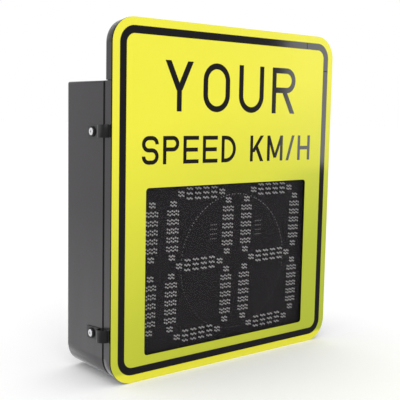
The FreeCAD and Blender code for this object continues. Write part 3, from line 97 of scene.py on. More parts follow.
class Wiring:
    """Adds and joins the nodes of one tree."""

    # Numbers of the Mix node's sockets for the factor, the two colours and the mixed colour
    MIX_SOCKETS = (0, 6, 7)
    MIX_RESULT = 2

    def __init__(self, tree: bpy.types.NodeTree) -> None:
        """Empties the tree and keeps it."""
        tree.nodes.clear()
        self.tree = tree

    def node(self, kind: str, inputs: dict | None = None, **settings: object) -> bpy.types.Node:
        """Adds one node.

        Args:
            kind: Blender's name for the kind of node.
            inputs: Values or sockets for its inputs, by name or number.
            settings: Properties of the node itself.

        Returns:
            The new node.
        """
        node = self.tree.nodes.new(kind)
        for name, value in settings.items():
            setattr(node, name, value)
        for key, value in (inputs or {}).items():
            if isinstance(value, bpy.types.NodeSocket):
                self.tree.links.new(value, node.inputs[key])
            else:
                node.inputs[key].default_value = value
        return node

    def group(self, effect: Effect, inputs: dict) -> bpy.types.Node:
        """Places a shared effect with its own values.

        Args:
            effect: The shared effect.
            inputs: Values or sockets for its inputs, by name.

        Returns:
            The group node.
        """
        return self.node("ShaderNodeGroup", inputs, node_tree=shared(effect))

    def math(self, operation: str, first: Value, second: Value) -> bpy.types.NodeSocket:
        """Works out one number from two.

        Args:
            operation: Blender's name for the operation.
            first: The first number or socket.
            second: The second number or socket.

        Returns:
            The result's socket.
        """
        return self.node("ShaderNodeMath", {0: first, 1: second}, operation=operation).outputs[0]

    def ramp(
        self, value: Value, low: Value, high: Value, start: float, end: float, way: str = "SMOOTHSTEP"
    ) -> bpy.types.NodeSocket:
        """Leads a number from one range into another.

        Args:
            value: The number's socket.
            low: Value at the start of the range.
            high: Value at the end of the range.
            start: Result at the start.
            end: Result at the end.
            way: Blender's name for the way between the two.

        Returns:
            The result's socket.
        """
        inputs = {"Value": value, "From Min": low, "From Max": high, "To Min": start, "To Max": end}
        return self.node("ShaderNodeMapRange", inputs, interpolation_type=way).outputs[0]

    def mix(self, factor: Value, first: Value, second: Value, blend: str = "MIX") -> bpy.types.NodeSocket:
        """Mixes two colours.

        Args:
            factor: Share of the second colour.
            first: The first colour or socket.
            second: The second colour or socket.
            blend: Blender's name for the way of mixing.

        Returns:
            The mixed colour's socket.
        """
        node = self.node("ShaderNodeMix", data_type="RGBA", blend_type=blend)
        for key, value in zip(self.MIX_SOCKETS, (factor, first, second)):
            if isinstance(value, bpy.types.NodeSocket):
                self.tree.links.new(value, node.inputs[key])
            else:
                node.inputs[key].default_value = (*value, 1.0) if isinstance(value, tuple) else value
        return node.outputs[self.MIX_RESULT]

    def place(self) -> bpy.types.NodeSocket:
        """Gives the place on the piece."""
        return self.node("ShaderNodeTexCoord").outputs["Object"]

    def drawn_out(self, stretch: Value) -> bpy.types.NodeSocket:
        """Gives the place on the piece, stretched along its axes."""
        inputs = {0: self.place(), 1: stretch}
        return self.node("ShaderNodeVectorMath", inputs, operation="MULTIPLY").outputs[0]

    def noise(self, place: bpy.types.NodeSocket, scale: Value, detail: float) -> bpy.types.NodeSocket:
        """Gives a cloudy noise between 0 and 1."""
        inputs = {"Vector": place, "Scale": scale, "Detail": detail}
        return self.node("ShaderNodeTexNoise", inputs).outputs["Fac"]

    def swing(self, noise: bpy.types.NodeSocket, amount: Value) -> bpy.types.NodeSocket:
        """Makes a noise swing about 0 by an amount."""
        return self.math("MULTIPLY", self.math("SUBTRACT", noise, NOISE_MIDDLE), amount)

    def along(self, axis: str) -> bpy.types.NodeSocket:
        """Gives the place along one axis of the piece."""
        return self.node("ShaderNodeSeparateXYZ", {0: self.place()}).outputs[axis]

    def band(self, axis: str, middle: float, half: float) -> bpy.types.NodeSocket:
        """Marks a narrow band across an axis.

        Args:
            axis: X, Y or Z.
            middle: Place of the band's middle, in metres.
            half: Half its width, in metres.

        Returns:
            A socket that is 1 in the band and 0 outside it.
        """
        inputs = {0: self.along(axis), 1: middle, 2: half}
        return self.node("ShaderNodeMath", inputs, operation="COMPARE").outputs[0]


def new_group(effect: Effect, inputs: dict[str, str], outputs: dict[str, str]) -> tuple:
    """Makes an empty group with named sockets.

    Args:
        effect: The effect that the group makes.
        inputs: Kinds of its inputs, by name.
        outputs: Kinds of its outputs, by name.

    Returns:
        The wiring, the group's inputs and the function that sets an output.
    """
    tree = bpy.data.node_groups.new(effect.value, "ShaderNodeTree")
    for in_out, sockets in (("INPUT", inputs), ("OUTPUT", outputs)):
        for name, kind in sockets.items():
            tree.interface.new_socket(name=name, in_out=in_out, socket_type="NodeSocket" + kind)
    wiring = Wiring(tree)
    given = wiring.node("NodeGroupInput").outputs
    result = wiring.node("NodeGroupOutput")
    return wiring, given, lambda name, socket: tree.links.new(socket, result.inputs[name])


def make_grain() -> bpy.types.NodeTree:
    """Builds the fine grain of a surface: a height, and a roughness that drifts.

    Returns:
        The group.
    """
    inputs = {"Scale": "Float", "Stretch": "Vector", "Roughness": "Float", "Spread": "Float"}
    wiring, given, give = new_group(Effect.GRAIN, inputs, {"Height": "Float", "Roughness": "Float"})
    drawn = wiring.drawn_out(given["Stretch"])
    fine = wiring.noise(drawn, given["Scale"], FINE_DETAIL)
    slow = wiring.noise(drawn, wiring.math("MULTIPLY", given["Scale"], DRIFT_SHARE), SLOW_DETAIL)
    both = wiring.math("ADD", wiring.swing(slow, given["Spread"]), wiring.swing(fine, given["Spread"]))
    give("Height", fine)
    give("Roughness", wiring.math("ADD", given["Roughness"], both))
    return wiring.tree


def make_mottle() -> bpy.types.NodeTree:
    """Builds a slight unevenness of colour.

    Returns:
        The group.
    """
    inputs = {"Colour": "Color", "Scale": "Float", "Amount": "Float"}
    wiring, given, give = new_group(Effect.MOTTLE, inputs, {"Colour": "Color"})
    noise = wiring.noise(wiring.place(), given["Scale"], MOTTLE_DETAIL)
    level = wiring.math("ADD", wiring.swing(noise, given["Amount"]), 1.0)
    grey = wiring.node("ShaderNodeCombineColor", {0: level, 1: level, 2: level})
    give("Colour", wiring.mix(1.0, given["Colour"], grey.outputs[0], "MULTIPLY"))
    return wiring.tree


def make_dust_and_light() -> bpy.types.NodeTree:
    """Builds a tint that grows towards the foot of a piece, with faint runs in it: a dusty film with painted
    floor light where it is pale, painted shade where it is dark.

    Returns:
        The group.
    """
    inputs = {"Colour": "Color", "Dust": "Color", "Amount": "Float", "Low": "Float", "High": "Float"}
    wiring, given, give = new_group(Effect.DUST_AND_LIGHT, inputs, {"Colour": "Color"})
    # the tint grows towards the foot; a pale tint paints floor light with a dusty film, a dark one paints
    # shade
    tint_share = wiring.ramp(wiring.along("Z"), given["Low"], given["High"], 1.0, 0.0, "LINEAR")
    runs = wiring.noise(wiring.drawn_out(RUN_STRETCH), 1.0, SLOW_DETAIL)
    broken = wiring.ramp(runs, *RUN_RANGE, *RUN_LEVELS)
    mask = wiring.math("MULTIPLY", wiring.math("MULTIPLY", tint_share, broken), given["Amount"])
    give("Colour", wiring.mix(mask, given["Colour"], given["Dust"]))
    return wiring.tree


MAKERS = {Effect.GRAIN: make_grain, Effect.MOTTLE: make_mottle, Effect.DUST_AND_LIGHT: make_dust_and_light}


def shared(effect: Effect) -> bpy.types.NodeTree:
    """Gives a shared group, built at its first use."""
    return bpy.data.node_groups.get(effect.value) or MAKERS[effect]()


# Finishes


@dataclass(frozen=True)
class Finish:
    """A surface of one colour that varies a little, with a fine grain."""

    colour: Colour
    roughness: float
    spread: float = 0.12
    metallic: float = 0.0
    specular: float = 0.5
    coat: float = 0.0
    coat_roughness: float = 0.1
    mottle: float = 0.12
    mottle_scale: float = 25.0
    grain_scale: float = 1500.0
    grain_depth: float = 0.03 * MM
    brush: Brush = Brush.NONE

    def paint(self, wiring: Wiring) -> bpy.types.NodeSocket:
        """Gives the colour of the surface.

        Args:
            wiring: The material's nodes.

        Returns:
            The colour's socket.
        """
        inputs = {"Colour": (*self.colour, 1.0), "Scale": self.mottle_scale, "Amount": self.mottle}
        return wiring.group(Effect.MOTTLE, inputs).outputs["Colour"]

    def gloss(self, wiring: Wiring, grain: bpy.types.Node) -> bpy.types.NodeSocket:
        """Gives the roughness of the surface.

        Args:
            wiring: The material's nodes.
            grain: The material's grain.

        Returns:
            The roughness's socket.
        """
        return grain.outputs["Roughness"]

    def relief(self, wiring: Wiring, grain: bpy.types.Node) -> bpy.types.NodeSocket:
        """Gives the height of the fine relief.

        Args:
            wiring: The material's nodes.
            grain: The material's grain.

        Returns:
            The height's socket.
        """
        return grain.outputs["Height"]

    def settle(self, shader: bpy.types.Node) -> None:
        """Sets what only some finishes have."""

    def build(self, name: str) -> bpy.types.Material:
        """Makes the material.

        Args:
            name: The material's name.

        Returns:
            The new material.
        """
        material = bpy.data.materials.new(name)
        material.use_nodes = True
        wiring = Wiring(material.node_tree)
        grain = wiring.group(
            Effect.GRAIN,
            {
                "Scale": self.grain_scale,
                "Stretch": self.brush.value,
                "Roughness": self.roughness,
                "Spread": self.spread,
            },
        )
        bump = wiring.node(
            "ShaderNodeBump",
            {"Strength": 1.0, "Distance": self.grain_depth, "Height": self.relief(wiring, grain)},
        )
        shader = wiring.node(
            "ShaderNodeBsdfPrincipled",
            {
                "Base Color": self.paint(wiring),
                "Metallic": self.metallic,
                "Roughness": self.gloss(wiring, grain),
                "Specular IOR Level": self.specular,
                "Coat Weight": self.coat,
                "Coat Roughness": self.coat_roughness,
                "Normal": bump.outputs["Normal"],
            },
        )
        self.settle(shader)
        wiring.node("ShaderNodeOutputMaterial", {"Surface": shader.outputs["BSDF"]})
        return material


@dataclass(frozen=True)
class SheetingFinish(Finish):
    """Reflective sheeting with fine cells, with painted shade: yellow above, darker and greener towards its
    lower right corner.
    """

    shade_and_cell_green: Colour = (0.449, 0.516, 0.034)
    shade_low: float = 0.176
    shade_high: float = 0.56
    shade_tilt: float = 0.253
    shade_patch_share: float = 0.243
    shade_patch_height: tuple[float, float] = (0.395, 0.425)
    shade_patch_across: tuple[float, float] = (0.08, 0.26)
    lit_rim_height: float = 16 * MM
    lit_rim_blend: float = 1.6
    cell_scale: float = 420.0
    cell_spread: float = 0.25
    cell_wall: float = 0.12
    cell_shade: float = 0.04

    def cells(self, wiring: Wiring) -> bpy.types.NodeSocket:
        """Marks the walls of the cells.

        Args:
            wiring: The material's nodes.

        Returns:
            A socket that is 1 on a wall and 0 inside a cell.
        """
        inputs = {"Vector": wiring.place(), "Scale": self.cell_scale, "Randomness": self.cell_spread}
        net = wiring.node("ShaderNodeTexVoronoi", inputs, feature="DISTANCE_TO_EDGE")
        return wiring.ramp(net.outputs["Distance"], 0.0, self.cell_wall, 1.0, 0.0)

    def paint(self, wiring: Wiring) -> bpy.types.NodeSocket:
        """Gives the colour, with painted shade that darkens and greens it downwards and in a patch on the
        right, and a painted highlight that keeps the lower rim bright.

        Args:
            wiring: The material's nodes.

        Returns:
            The colour's socket.
        """
        across, height = wiring.along("X"), wiring.along("Z")
        # painted shade: the colour turns darker and greener downwards, reaching higher on the right
        tilted = wiring.math("SUBTRACT", height, wiring.math("MULTIPLY", across, self.shade_tilt))
        slow = wiring.ramp(tilted, self.shade_low, self.shade_high, 1.0 - self.shade_patch_share, 0.0, "LINEAR")
        # painted shade: a darker, greener patch on the right, below about 0.41 m
        below = wiring.ramp(height, *self.shade_patch_height, self.shade_patch_share, 0.0)
        shade_patch = wiring.math("MULTIPLY", below, wiring.ramp(across, *self.shade_patch_across, 0.0, 1.0))
        tint_share = wiring.math("ADD", slow, shade_patch)
        # painted highlight: the lowest 16 mm of the sheeting keep the bright yellow, free of the painted
        # shade
        above_lit_rim = wiring.ramp(height, self.lit_rim_height, self.lit_rim_height * self.lit_rim_blend, 0.0, 1.0)
        shaded = wiring.mix(wiring.math("MULTIPLY", tint_share, above_lit_rim), super().paint(wiring), self.shade_and_cell_green)
        shade = wiring.math("MULTIPLY", self.cells(wiring), self.cell_shade)
        return wiring.mix(shade, shaded, self.shade_and_cell_green)

    def relief(self, wiring: Wiring, grain: bpy.types.Node) -> bpy.types.NodeSocket:
        """Gives the relief: grain, with the walls of the cells a little proud."""
        return wiring.math("ADD", grain.outputs["Height"], self.cells(wiring))


@dataclass(frozen=True)
class FilmFinish(Finish):
    """Glossy cut film, with the butt joints of its strips."""

    top_joint: float = 217.5 * MM
    side_joint: float = 638.0 * MM
    joint_half: float = 0.7 * MM

    def joints(self, wiring: Wiring) -> bpy.types.NodeSocket:
        """Marks the joints.

        Args:
            wiring: The material's nodes.

        Returns:
            A socket that is 1 in a joint.
        """
        high = wiring.math("GREATER_THAN", wiring.along("Z"), self.side_joint)
        right = wiring.math("GREATER_THAN", wiring.along("X"), self.top_joint)
        top = wiring.math("MULTIPLY", wiring.band("X", self.top_joint, self.joint_half), high)
        side = wiring.math("MULTIPLY", wiring.band("Z", self.side_joint, self.joint_half), right)
        return wiring.math("MAXIMUM", top, side)

    def gloss(self, wiring: Wiring, grain: bpy.types.Node) -> bpy.types.NodeSocket:
        """Gives the roughness, dull in the joints."""
        return wiring.math("MAXIMUM", grain.outputs["Roughness"], self.joints(wiring))


@dataclass(frozen=True)
class DustAndLightFinish(Finish):
    """A surface tinted towards its foot: a dusty film with painted floor light when the tint is pale, painted
    shade when it is dark.
    """

    dust_and_light_colour: Colour = (0.20, 0.195, 0.20)
    dust_and_light_amount: float = 0.3
    dust_and_light_low: float = 0.0
    dust_and_light_high: float = 0.35

    def paint(self, wiring: Wiring) -> bpy.types.NodeSocket:
        """Gives the colour with its tint of dusty film and painted light towards the foot.

        Args:
            wiring: The material's nodes.

        Returns:
            The colour's socket.
        """
        inputs = {
            "Colour": super().paint(wiring),
            "Dust": (*self.dust_and_light_colour, 1.0),
            "Amount": self.dust_and_light_amount,
            "Low": self.dust_and_light_low,
            "High": self.dust_and_light_high,
        }
        return wiring.group(Effect.DUST_AND_LIGHT, inputs).outputs["Colour"]


@dataclass(frozen=True)
class ClearFinish(Finish):
    """Smoked clear sheet with little glare."""

    alpha: float = 0.12

    def settle(self, shader: bpy.types.Node) -> None:
        """Makes the sheet see-through."""
        shader.inputs["Alpha"].default_value = self.alpha


FINISHES: dict[str, Finish] = {
    "yellow_sheeting": SheetingFinish(
        colour=(0.836, 0.793, 0.046), roughness=0.42, spread=0.05, mottle=0.03, mottle_scale=6.0,
        specular=0.2, coat=0.05, coat_roughness=0.12, grain_depth=0.01 * MM,
    ),
    "black_film": FilmFinish(
        colour=(0.008, 0.007, 0.008), roughness=0.10, spread=0.05, specular=0.3, grain_scale=500.0,
        grain_depth=0.004 * MM, mottle=0.2,
    ),
    "black_plate": Finish(colour=(0.004, 0.004, 0.004), roughness=0.6, specular=0.05),
    "foam_tape": Finish(colour=(0.012, 0.012, 0.012), roughness=0.9, grain_scale=700.0, grain_depth=0.1 * MM),
    "clear_sheet": ClearFinish(
        colour=(0.060, 0.055, 0.061), roughness=0.14, spread=0.04, specular=0.3, mottle=0.1, mottle_scale=8.0,
        grain_depth=0.001 * MM,
    ),
    # painted floor light: the housing paint turns paler towards its foot, together with a dusty film
    "grey_paint": DustAndLightFinish(
        colour=(0.019, 0.016, 0.0195), roughness=0.15, spread=0.06, grain_scale=1400.0, grain_depth=0.01 * MM,
    ),
    "black_paint": Finish(colour=(0.010, 0.010, 0.011), roughness=0.30, grain_depth=0.02 * MM),
    "seal_rubber": Finish(colour=(0.012, 0.012, 0.012), roughness=0.8, specular=0.3, grain_scale=900.0),
    "bright_steel": Finish(
        colour=(0.80, 0.80, 0.82), roughness=0.28, metallic=1.0, spread=0.2, grain_scale=700.0,
        grain_depth=0.02 * MM,
    ),
    "black_washer": Finish(colour=(0.012, 0.012, 0.012), roughness=0.7, specular=0.3),
    "bare_aluminium": Finish(
        colour=(0.70, 0.71, 0.72), roughness=0.38, metallic=1.0, spread=0.25, grain_scale=1800.0,
        brush=Brush.ALONG_X,
    ),
    "black_board": Finish(
        colour=(0.010, 0.009, 0.010), roughness=0.7, specular=0.1, mottle=0.3, grain_scale=900.0,
        grain_depth=0.004 * MM,
    ),
    "light_lens": Finish(
        colour=(0.56, 0.55, 0.55), roughness=0.35, mottle=0.7, mottle_scale=260.0, coat=0.3,
        grain_depth=0.005 * MM,
    ),
    # painted shade: the ring lights turn dark towards the bottom, below about 0.36 m
    "dim_lens": DustAndLightFinish(
        colour=(0.36, 0.35, 0.355), roughness=0.35, mottle=1.4, mottle_scale=60.0, coat=0.1,
        dust_and_light_colour=(0.012, 0.011, 0.012), dust_and_light_amount=0.95, dust_and_light_low=0.15, dust_and_light_high=0.36,
    ),
    "green_board": Finish(colour=(0.02, 0.12, 0.05), roughness=0.4, mottle=0.3, mottle_scale=90.0),
    "chip_black": Finish(colour=(0.02, 0.02, 0.02), roughness=0.6),
    "terminal_green": Finish(colour=(0.03, 0.30, 0.10), roughness=0.35),
    "spacer_brass": Finish(colour=(0.75, 0.56, 0.25), roughness=0.3, metallic=1.0),
    "galvanised": Finish(
        colour=(0.50, 0.51, 0.53), roughness=0.45, metallic=0.9, mottle=0.5, mottle_scale=60.0,
    ),
    "battery_case": Finish(
        colour=(0.04, 0.04, 0.045), roughness=0.55, grain_scale=500.0, grain_depth=0.1 * MM,
    ),
    "blue_case": Finish(colour=(0.03, 0.07, 0.18), roughness=0.4, coat=0.2),
    "lead_sheath": Finish(colour=(0.02, 0.02, 0.02), roughness=0.55),
    "vent_black": Finish(colour=(0.02, 0.02, 0.021), roughness=0.5, grain_scale=800.0, grain_depth=0.06 * MM),
}


class Wardrobe:
    """Keeps one material for each slot of the record."""

    def __init__(self) -> None:
        """Makes every material once."""
        self.materials = {slot: finish.build(slot) for slot, finish in FINISHES.items()}
        self.slots = {part["node"]: part["material_slot"] for part in frame["record"]["subparts"]}

    def dress(self, piece: bpy.types.Object, slot: str) -> None:
        """Gives a piece its material.

        Args:
            piece: The piece.
            slot: The record's slot.
        """
        if not piece.material_slots:
            piece.data.materials.append(None)
        for holder in piece.material_slots:
            holder.material = self.materials[slot]

    def dress_node(self, node: str) -> None:
        """Gives a CAD node the material of its slot."""
        self.dress(frame["nodes"][node], self.slots[node])
        LOG.info("%s dressed", node)

    def hand_over(self, piece: bpy.types.Object, node: str, finish: str | None = None) -> None:
        """Lets a new piece stand for a CAD node.

        Args:
            piece: The new piece.
            node: The node that it stands for.
            finish: Its finish, where that isn't the one of the node's slot.
        """
        self.dress(piece, finish or self.slots[node])
        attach(piece, BODY)
        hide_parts(node)
        LOG.info("%s stands for %s", piece.name, node)


# Modelling by hand


def deselect() -> None:
    """Deselects everything."""
    if bpy.context.mode != "OBJECT":
        bpy.ops.object.mode_set(mode="OBJECT")
    bpy.ops.object.select_all(action="DESELECT")


def finish_mesh(piece: bpy.types.Object, angle: float = 35.0) -> None:
    """Puts a piece's place into its mesh and smooths its shallow edges.

    Args:
        piece: The piece.
        angle: Edges sharper than this many degrees stay sharp.
    """
    deselect()
    piece.select_set(True)
    bpy.context.view_layer.objects.active = piece
    bpy.ops.object.transform_apply(location=True, rotation=True, scale=True)
    bpy.ops.object.shade_smooth_by_angle(angle=math.radians(angle))
    piece.select_set(False)


def round_edges(node: str, width: float, segments: int = 2) -> None:
    """Breaks the sharp edges of a CAD node with modifiers, its own mesh left as it is.

    Args:
        node: The CAD node.
        width: Width of the broken edge, in metres.
        segments: Steps across it.
    """
    piece = frame["nodes"][node]
    weld = piece.modifiers.new("closed_seams", "WELD")
    weld.merge_threshold = WELD_GAP
    bevel = piece.modifiers.new("broken_edges", "BEVEL")
    bevel.width = width
    bevel.segments = segments
    bevel.limit_method = "ANGLE"
    bevel.angle_limit = math.radians(EDGE_ANGLE)
    bevel.use_clamp_overlap = True
    bevel.harden_normals = True


def solid_boxes(node: str) -> list[tuple[Vector, Vector]]:
    """Finds the box of each separate solid of a CAD node.

    Args:
        node: The CAD node.

    Returns:
        The lowest and highest corner of each solid.
    """
    mesh = bmesh.new()
    mesh.from_mesh(frame["nodes"][node].data)
    bmesh.ops.remove_doubles(mesh, verts=mesh.verts, dist=WELD_GAP)
    left, boxes = set(mesh.verts), []
    while left:
        reached, waiting = set(), [left.pop()]
        while waiting:
            vertex = waiting.pop()
            reached.add(vertex)
            for edge in vertex.link_edges:
                other = edge.other_vert(vertex)
                if other in left:
                    left.remove(other)
                    waiting.append(other)
        places = [vertex.co for vertex in reached]
        low = Vector([min(place[axis] for place in places) for axis in range(3)])
        high = Vector([max(place[axis] for place in places) for axis in range(3)])
        boxes.append((low, high))
    mesh.free()
    return sorted(boxes, key=lambda pair: tuple(round(value, PLACE_DIGITS) for value in pair[0]))


# Sub-assemblies


@dataclass
class SignFace:
    """The sheeted face plate with its border and legend."""

    plate: str = "face_plate"
    films: tuple[str, ...] = ("reflective_sheeting", "border_stripe", "legend_letters", "bonding_tape")
    plate_edge: float = 0.5 * MM

    def build(self, wardrobe: Wardrobe) -> None:
        """Dresses the face.

        Args:
            wardrobe: The materials.
        """
        for node in (self.plate, *self.films):
            wardrobe.dress_node(node)
        round_edges(self.plate, self.plate_edge)


@dataclass
class Display:
    """The lens, the board behind it and its small lights."""

    nodes: tuple[str, ...] = ("display_lens", "display_board")
    digits: tuple[str, ...] = ("hundreds_leds", "tens_leds", "units_leds")
    ring: str = "ring_leds"
    ring_finish: str = "dim_lens"
    lens_size: float = 3.8 * MM
    swing: float = 1.0 * MM
    wide_row: float = 25.0 * MM
    wide_count: int = 6
    narrow_count: int = 4
    sides: int = 10
    foot_share: float = 0.4
    collar_share: float = 0.08
    dome_steps: tuple[tuple[float, float], ...] = ((0.35, 0.86), (0.25, 0.45))
    front_normal: float = -0.9
    smooth_angle: float = 60.0

    def light(self, across: float, tall: float) -> bpy.types.Object:
        """Models one light: a moulded foot, a collar and a domed lens.

        Args:
            across: Its width, in metres.
            tall: Its height off the board, in metres.

        Returns:
            The light, at the origin, with its dome towards -Y.
        """
        deselect()
        foot = tall * self.foot_share
        bpy.ops.mesh.primitive_cylinder_add(
            vertices=self.sides, radius=across / 2, depth=foot, location=(0, -foot / 2, 0),
            rotation=(math.pi / 2, 0, 0), end_fill_type="NGON",
        )
        light = bpy.context.object
        finish_mesh(light)
        light.select_set(True)
        bpy.ops.object.mode_set(mode="EDIT")
        bpy.ops.mesh.select_all(action="DESELECT")
        mesh = bmesh.from_edit_mesh(light.data)
        for face in mesh.faces:
            face.select = face.normal.y < self.front_normal
        bmesh.update_edit_mesh(light.data)
        bpy.ops.mesh.inset(thickness=across * self.collar_share)
        for rise, shrink in self.dome_steps:
            bpy.ops.mesh.extrude_region_move(TRANSFORM_OT_translate={"value": (0, -tall * rise, 0)})
            bpy.ops.transform.resize(value=(shrink, 1, shrink))
        bpy.ops.object.mode_set(mode="OBJECT")
        finish_mesh(light, self.smooth_angle)
        return light

    def places(self, node: str) -> list[Vector]:
        """Lists the foot of each light of a node, along its rows.

        Args:
            node: The node whose rows carry the lights.

        Returns:
            The places, on the board's front.
        """
        places = []
        for low, high in solid_boxes(node):
            middle, length = (low + high) / 2, high.x - low.x
            if length < 2 * self.lens_size:
                places.append(Vector((middle.x, high.y, middle.z)))
                continue
            count = self.wide_count if length > self.wide_row else self.narrow_count
            pitch = (length - self.lens_size) / (count - 1)
            for index in range(count):
                across = middle.x + pitch * (index - (count - 1) / 2)
                shift = -self.swing if index % 2 else self.swing
                places.append(Vector((across, high.y, middle.z + shift)))
        return places

    def light_field(self, node: str) -> bpy.types.Object:
        """Models all the lights of one node as one piece.

        Args:
            node: The node that the lights stand for.

        Returns:
            The joined lights.
        """
        low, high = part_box(node)
        width = self.lens_size
        if node == self.ring:
            left, right = solid_boxes(node)[0]
            width = right.x - left.x
        model = self.light(width, high.y - low.y)
        copies = []
        for place in self.places(node):
            copy = bpy.data.objects.new(node + "_light", model.data.copy())
            copy.location = place
            bpy.context.collection.objects.link(copy)
            copies.append(copy)
        bpy.data.objects.remove(model)
        deselect()
        for copy in copies:
            copy.select_set(True)
        bpy.context.view_layer.objects.active = copies[0]
        bpy.ops.object.join()
        piece = bpy.context.object
        piece.name = node.replace("leds", "lights")
        finish_mesh(piece, self.smooth_angle)
        return piece

    def build(self, wardrobe: Wardrobe) -> None:
        """Dresses lens and board and models the lights.

        Args:
            wardrobe: The materials.
        """
        for node in self.nodes:
            wardrobe.dress_node(node)
        for node in self.digits:
            wardrobe.hand_over(self.light_field(node), node)
        wardrobe.hand_over(self.light_field(self.ring), self.ring, self.ring_finish)


@dataclass
class Case:
    """The frame, hood and housing, with the seals between them."""

    shells: tuple[str, ...] = ("front_frame", "upper_hood", "rear_housing")
    seals: tuple[str, ...] = ("hood_seal", "frame_gasket")
    shell_edge: float = 0.7 * MM

    def build(self, wardrobe: Wardrobe) -> None:
        """Dresses the case.

        Args:
            wardrobe: The materials.
        """
        for node in self.shells + self.seals:
            wardrobe.dress_node(node)
        for node in self.shells:
            round_edges(node, self.shell_edge)


@dataclass
class Clamps:
    """The four straps with their bolts and washers."""

    straps: tuple[str, ...] = (
        "clamp_upper_left", "clamp_upper_right", "clamp_lower_left", "clamp_lower_right",
    )
    fasteners: tuple[str, ...] = ("clamp_bolts", "clamp_washers", "clamp_nuts")
    strap_edge: float = 0.6 * MM

    def build(self, wardrobe: Wardrobe) -> None:
        """Dresses the clamps.

        Args:
            wardrobe: The materials.
        """
        for node in self.straps + self.fasteners:
            wardrobe.dress_node(node)
        for node in self.straps:
            round_edges(node, self.strap_edge)


@dataclass
class TurnedPiece:
    """A piece turned about an axis along Y, for a round CAD node of the back."""

    node: str
    profile: list[tuple[float, float]]
    steps: int = 48
    slots: int = 0
    slot_depth: float = 0.8 * MM
    slot_wall: float = 0.25 * MM
    wall_lean: float = 0.2
    wall_share: float = 0.95

    def outline(self) -> list[Vector]:
        """Places the profile, which is given as radius and depth from the rear, in millimetres.

        Returns:
            The points of the profile.
        """
        low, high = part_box(self.node)
        middle = (low + high) / 2
        return [
            Vector((middle.x + radius * MM, high.y - depth * MM, middle.z))
            for radius, depth in self.profile
        ]

    def cut_slots(self, piece: bpy.types.Object, axis: Vector) -> None:
        """Sinks slots into the outer wall.

        Args:
            piece: The turned piece.
            axis: A point on its axis.
        """
        outer = max(radius for radius, _ in self.profile) * MM
        bpy.ops.mesh.select_all(action="DESELECT")
        mesh = bmesh.from_edit_mesh(piece.data)
        for face in mesh.faces:
            arm = face.calc_center_median() - axis
            turn = math.atan2(arm.z, arm.x) / (2 * math.pi) * self.steps
            upright = abs(face.normal.y) < self.wall_lean
            outermost = math.hypot(arm.x, arm.z) > outer * self.wall_share
            in_turn = math.floor(turn) % (self.steps // self.slots) == 0
            face.select = upright and outermost and in_turn
        bmesh.update_edit_mesh(piece.data)
        bpy.ops.mesh.inset(thickness=self.slot_wall, depth=-self.slot_depth, use_individual=True)

    def build(self, wardrobe: Wardrobe) -> None:
        """Models the piece by spinning its profile, and lets it stand for the node.

        Args:
            wardrobe: The materials.
        """
        points = self.outline()
        low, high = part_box(self.node)
        axis = (low + high) / 2
        deselect()
        bpy.ops.mesh.primitive_plane_add(size=MM, location=(0, 0, 0))
        piece = bpy.context.object
        piece.name = self.node + "_turned"
        bpy.ops.object.mode_set(mode="EDIT")
        bpy.ops.mesh.select_all(action="SELECT")
        bpy.ops.mesh.merge(type="CENTER")
        bpy.ops.transform.translate(value=points[0])
        for before, after in zip(points, points[1:]):
            bpy.ops.mesh.extrude_region_move(TRANSFORM_OT_translate={"value": after - before})
        bpy.ops.mesh.select_all(action="SELECT")
        bpy.ops.mesh.spin(steps=self.steps, angle=2 * math.pi, center=axis, axis=(0, 1, 0))
        bpy.ops.mesh.select_all(action="SELECT")
        bpy.ops.mesh.remove_doubles(threshold=WELD_GAP)
        bpy.ops.mesh.normals_make_consistent(inside=False)
        if self.slots:
            self.cut_slots(piece, axis)
        bpy.ops.object.mode_set(mode="OBJECT")
        finish_mesh(piece)
        wardrobe.hand_over(piece, self.node)


@dataclass
class RearFittings:
    """The mount bars, the cable entry and the breather on the back."""

    bars: tuple[str, ...] = ("upper_mount_bar", "lower_mount_bar")
    fasteners: tuple[str, ...] = ("bar_bolts", "bar_nuts", "mount_nuts")
    bar_edge: float = 0.8 * MM
    grommet: TurnedPiece = field(
        default_factory=lambda: TurnedPiece(
            "cable_grommet",
            [
                (0.0, 1.2), (2.5, 1.2), (3.0, 0.7), (3.6, 0.7), (4.1, 1.4), (6.4, 1.4), (6.9, 0.7),
                (7.5, 0.7), (8.0, 1.4), (10.3, 1.4), (11.0, 0.3), (12.6, 0.0), (13.6, 0.4), (15.6, 2.2),
                (16.0, 3.0), (12.0, 3.0), (12.0, 5.5), (14.5, 5.5), (12.0, 8.5), (0.0, 8.5),
            ],
        )
    )
    vent: TurnedPiece = field(
        default_factory=lambda: TurnedPiece(
            "vent_plug",
            [
                (0.0, 0.5), (4.2, 0.5), (4.6, 0.1), (6.6, 0.0), (7.6, 0.3), (9.2, 1.4), (9.6, 2.0),
                (9.6, 4.2), (10.0, 4.5), (10.0, 5.0), (6.0, 5.0), (6.0, 7.5), (0.0, 7.5),
            ],
            slots=12,
        )
    )

    def build(self, wardrobe: Wardrobe) -> None:
        """Dresses the bars and models the round fittings.

        Args:
            wardrobe: The materials.
        """
        for node in self.bars + self.fasteners:
            wardrobe.dress_node(node)
        for node in self.bars:
            round_edges(node, self.bar_edge)
        self.grommet.build(wardrobe)
        self.vent.build(wardrobe)


@dataclass
class Inside:
    """What the closed case holds, and the fasteners that show little."""

    def build(self, wardrobe: Wardrobe) -> None:
        """Dresses every CAD node that has no material of its own yet.

        Args:
            wardrobe: The materials.
        """
        done = set(wardrobe.materials.values())
        for node, piece in frame["nodes"].items():
            if not any(holder.material in done for holder in piece.material_slots):
                wardrobe.dress_node(node)


# Studio


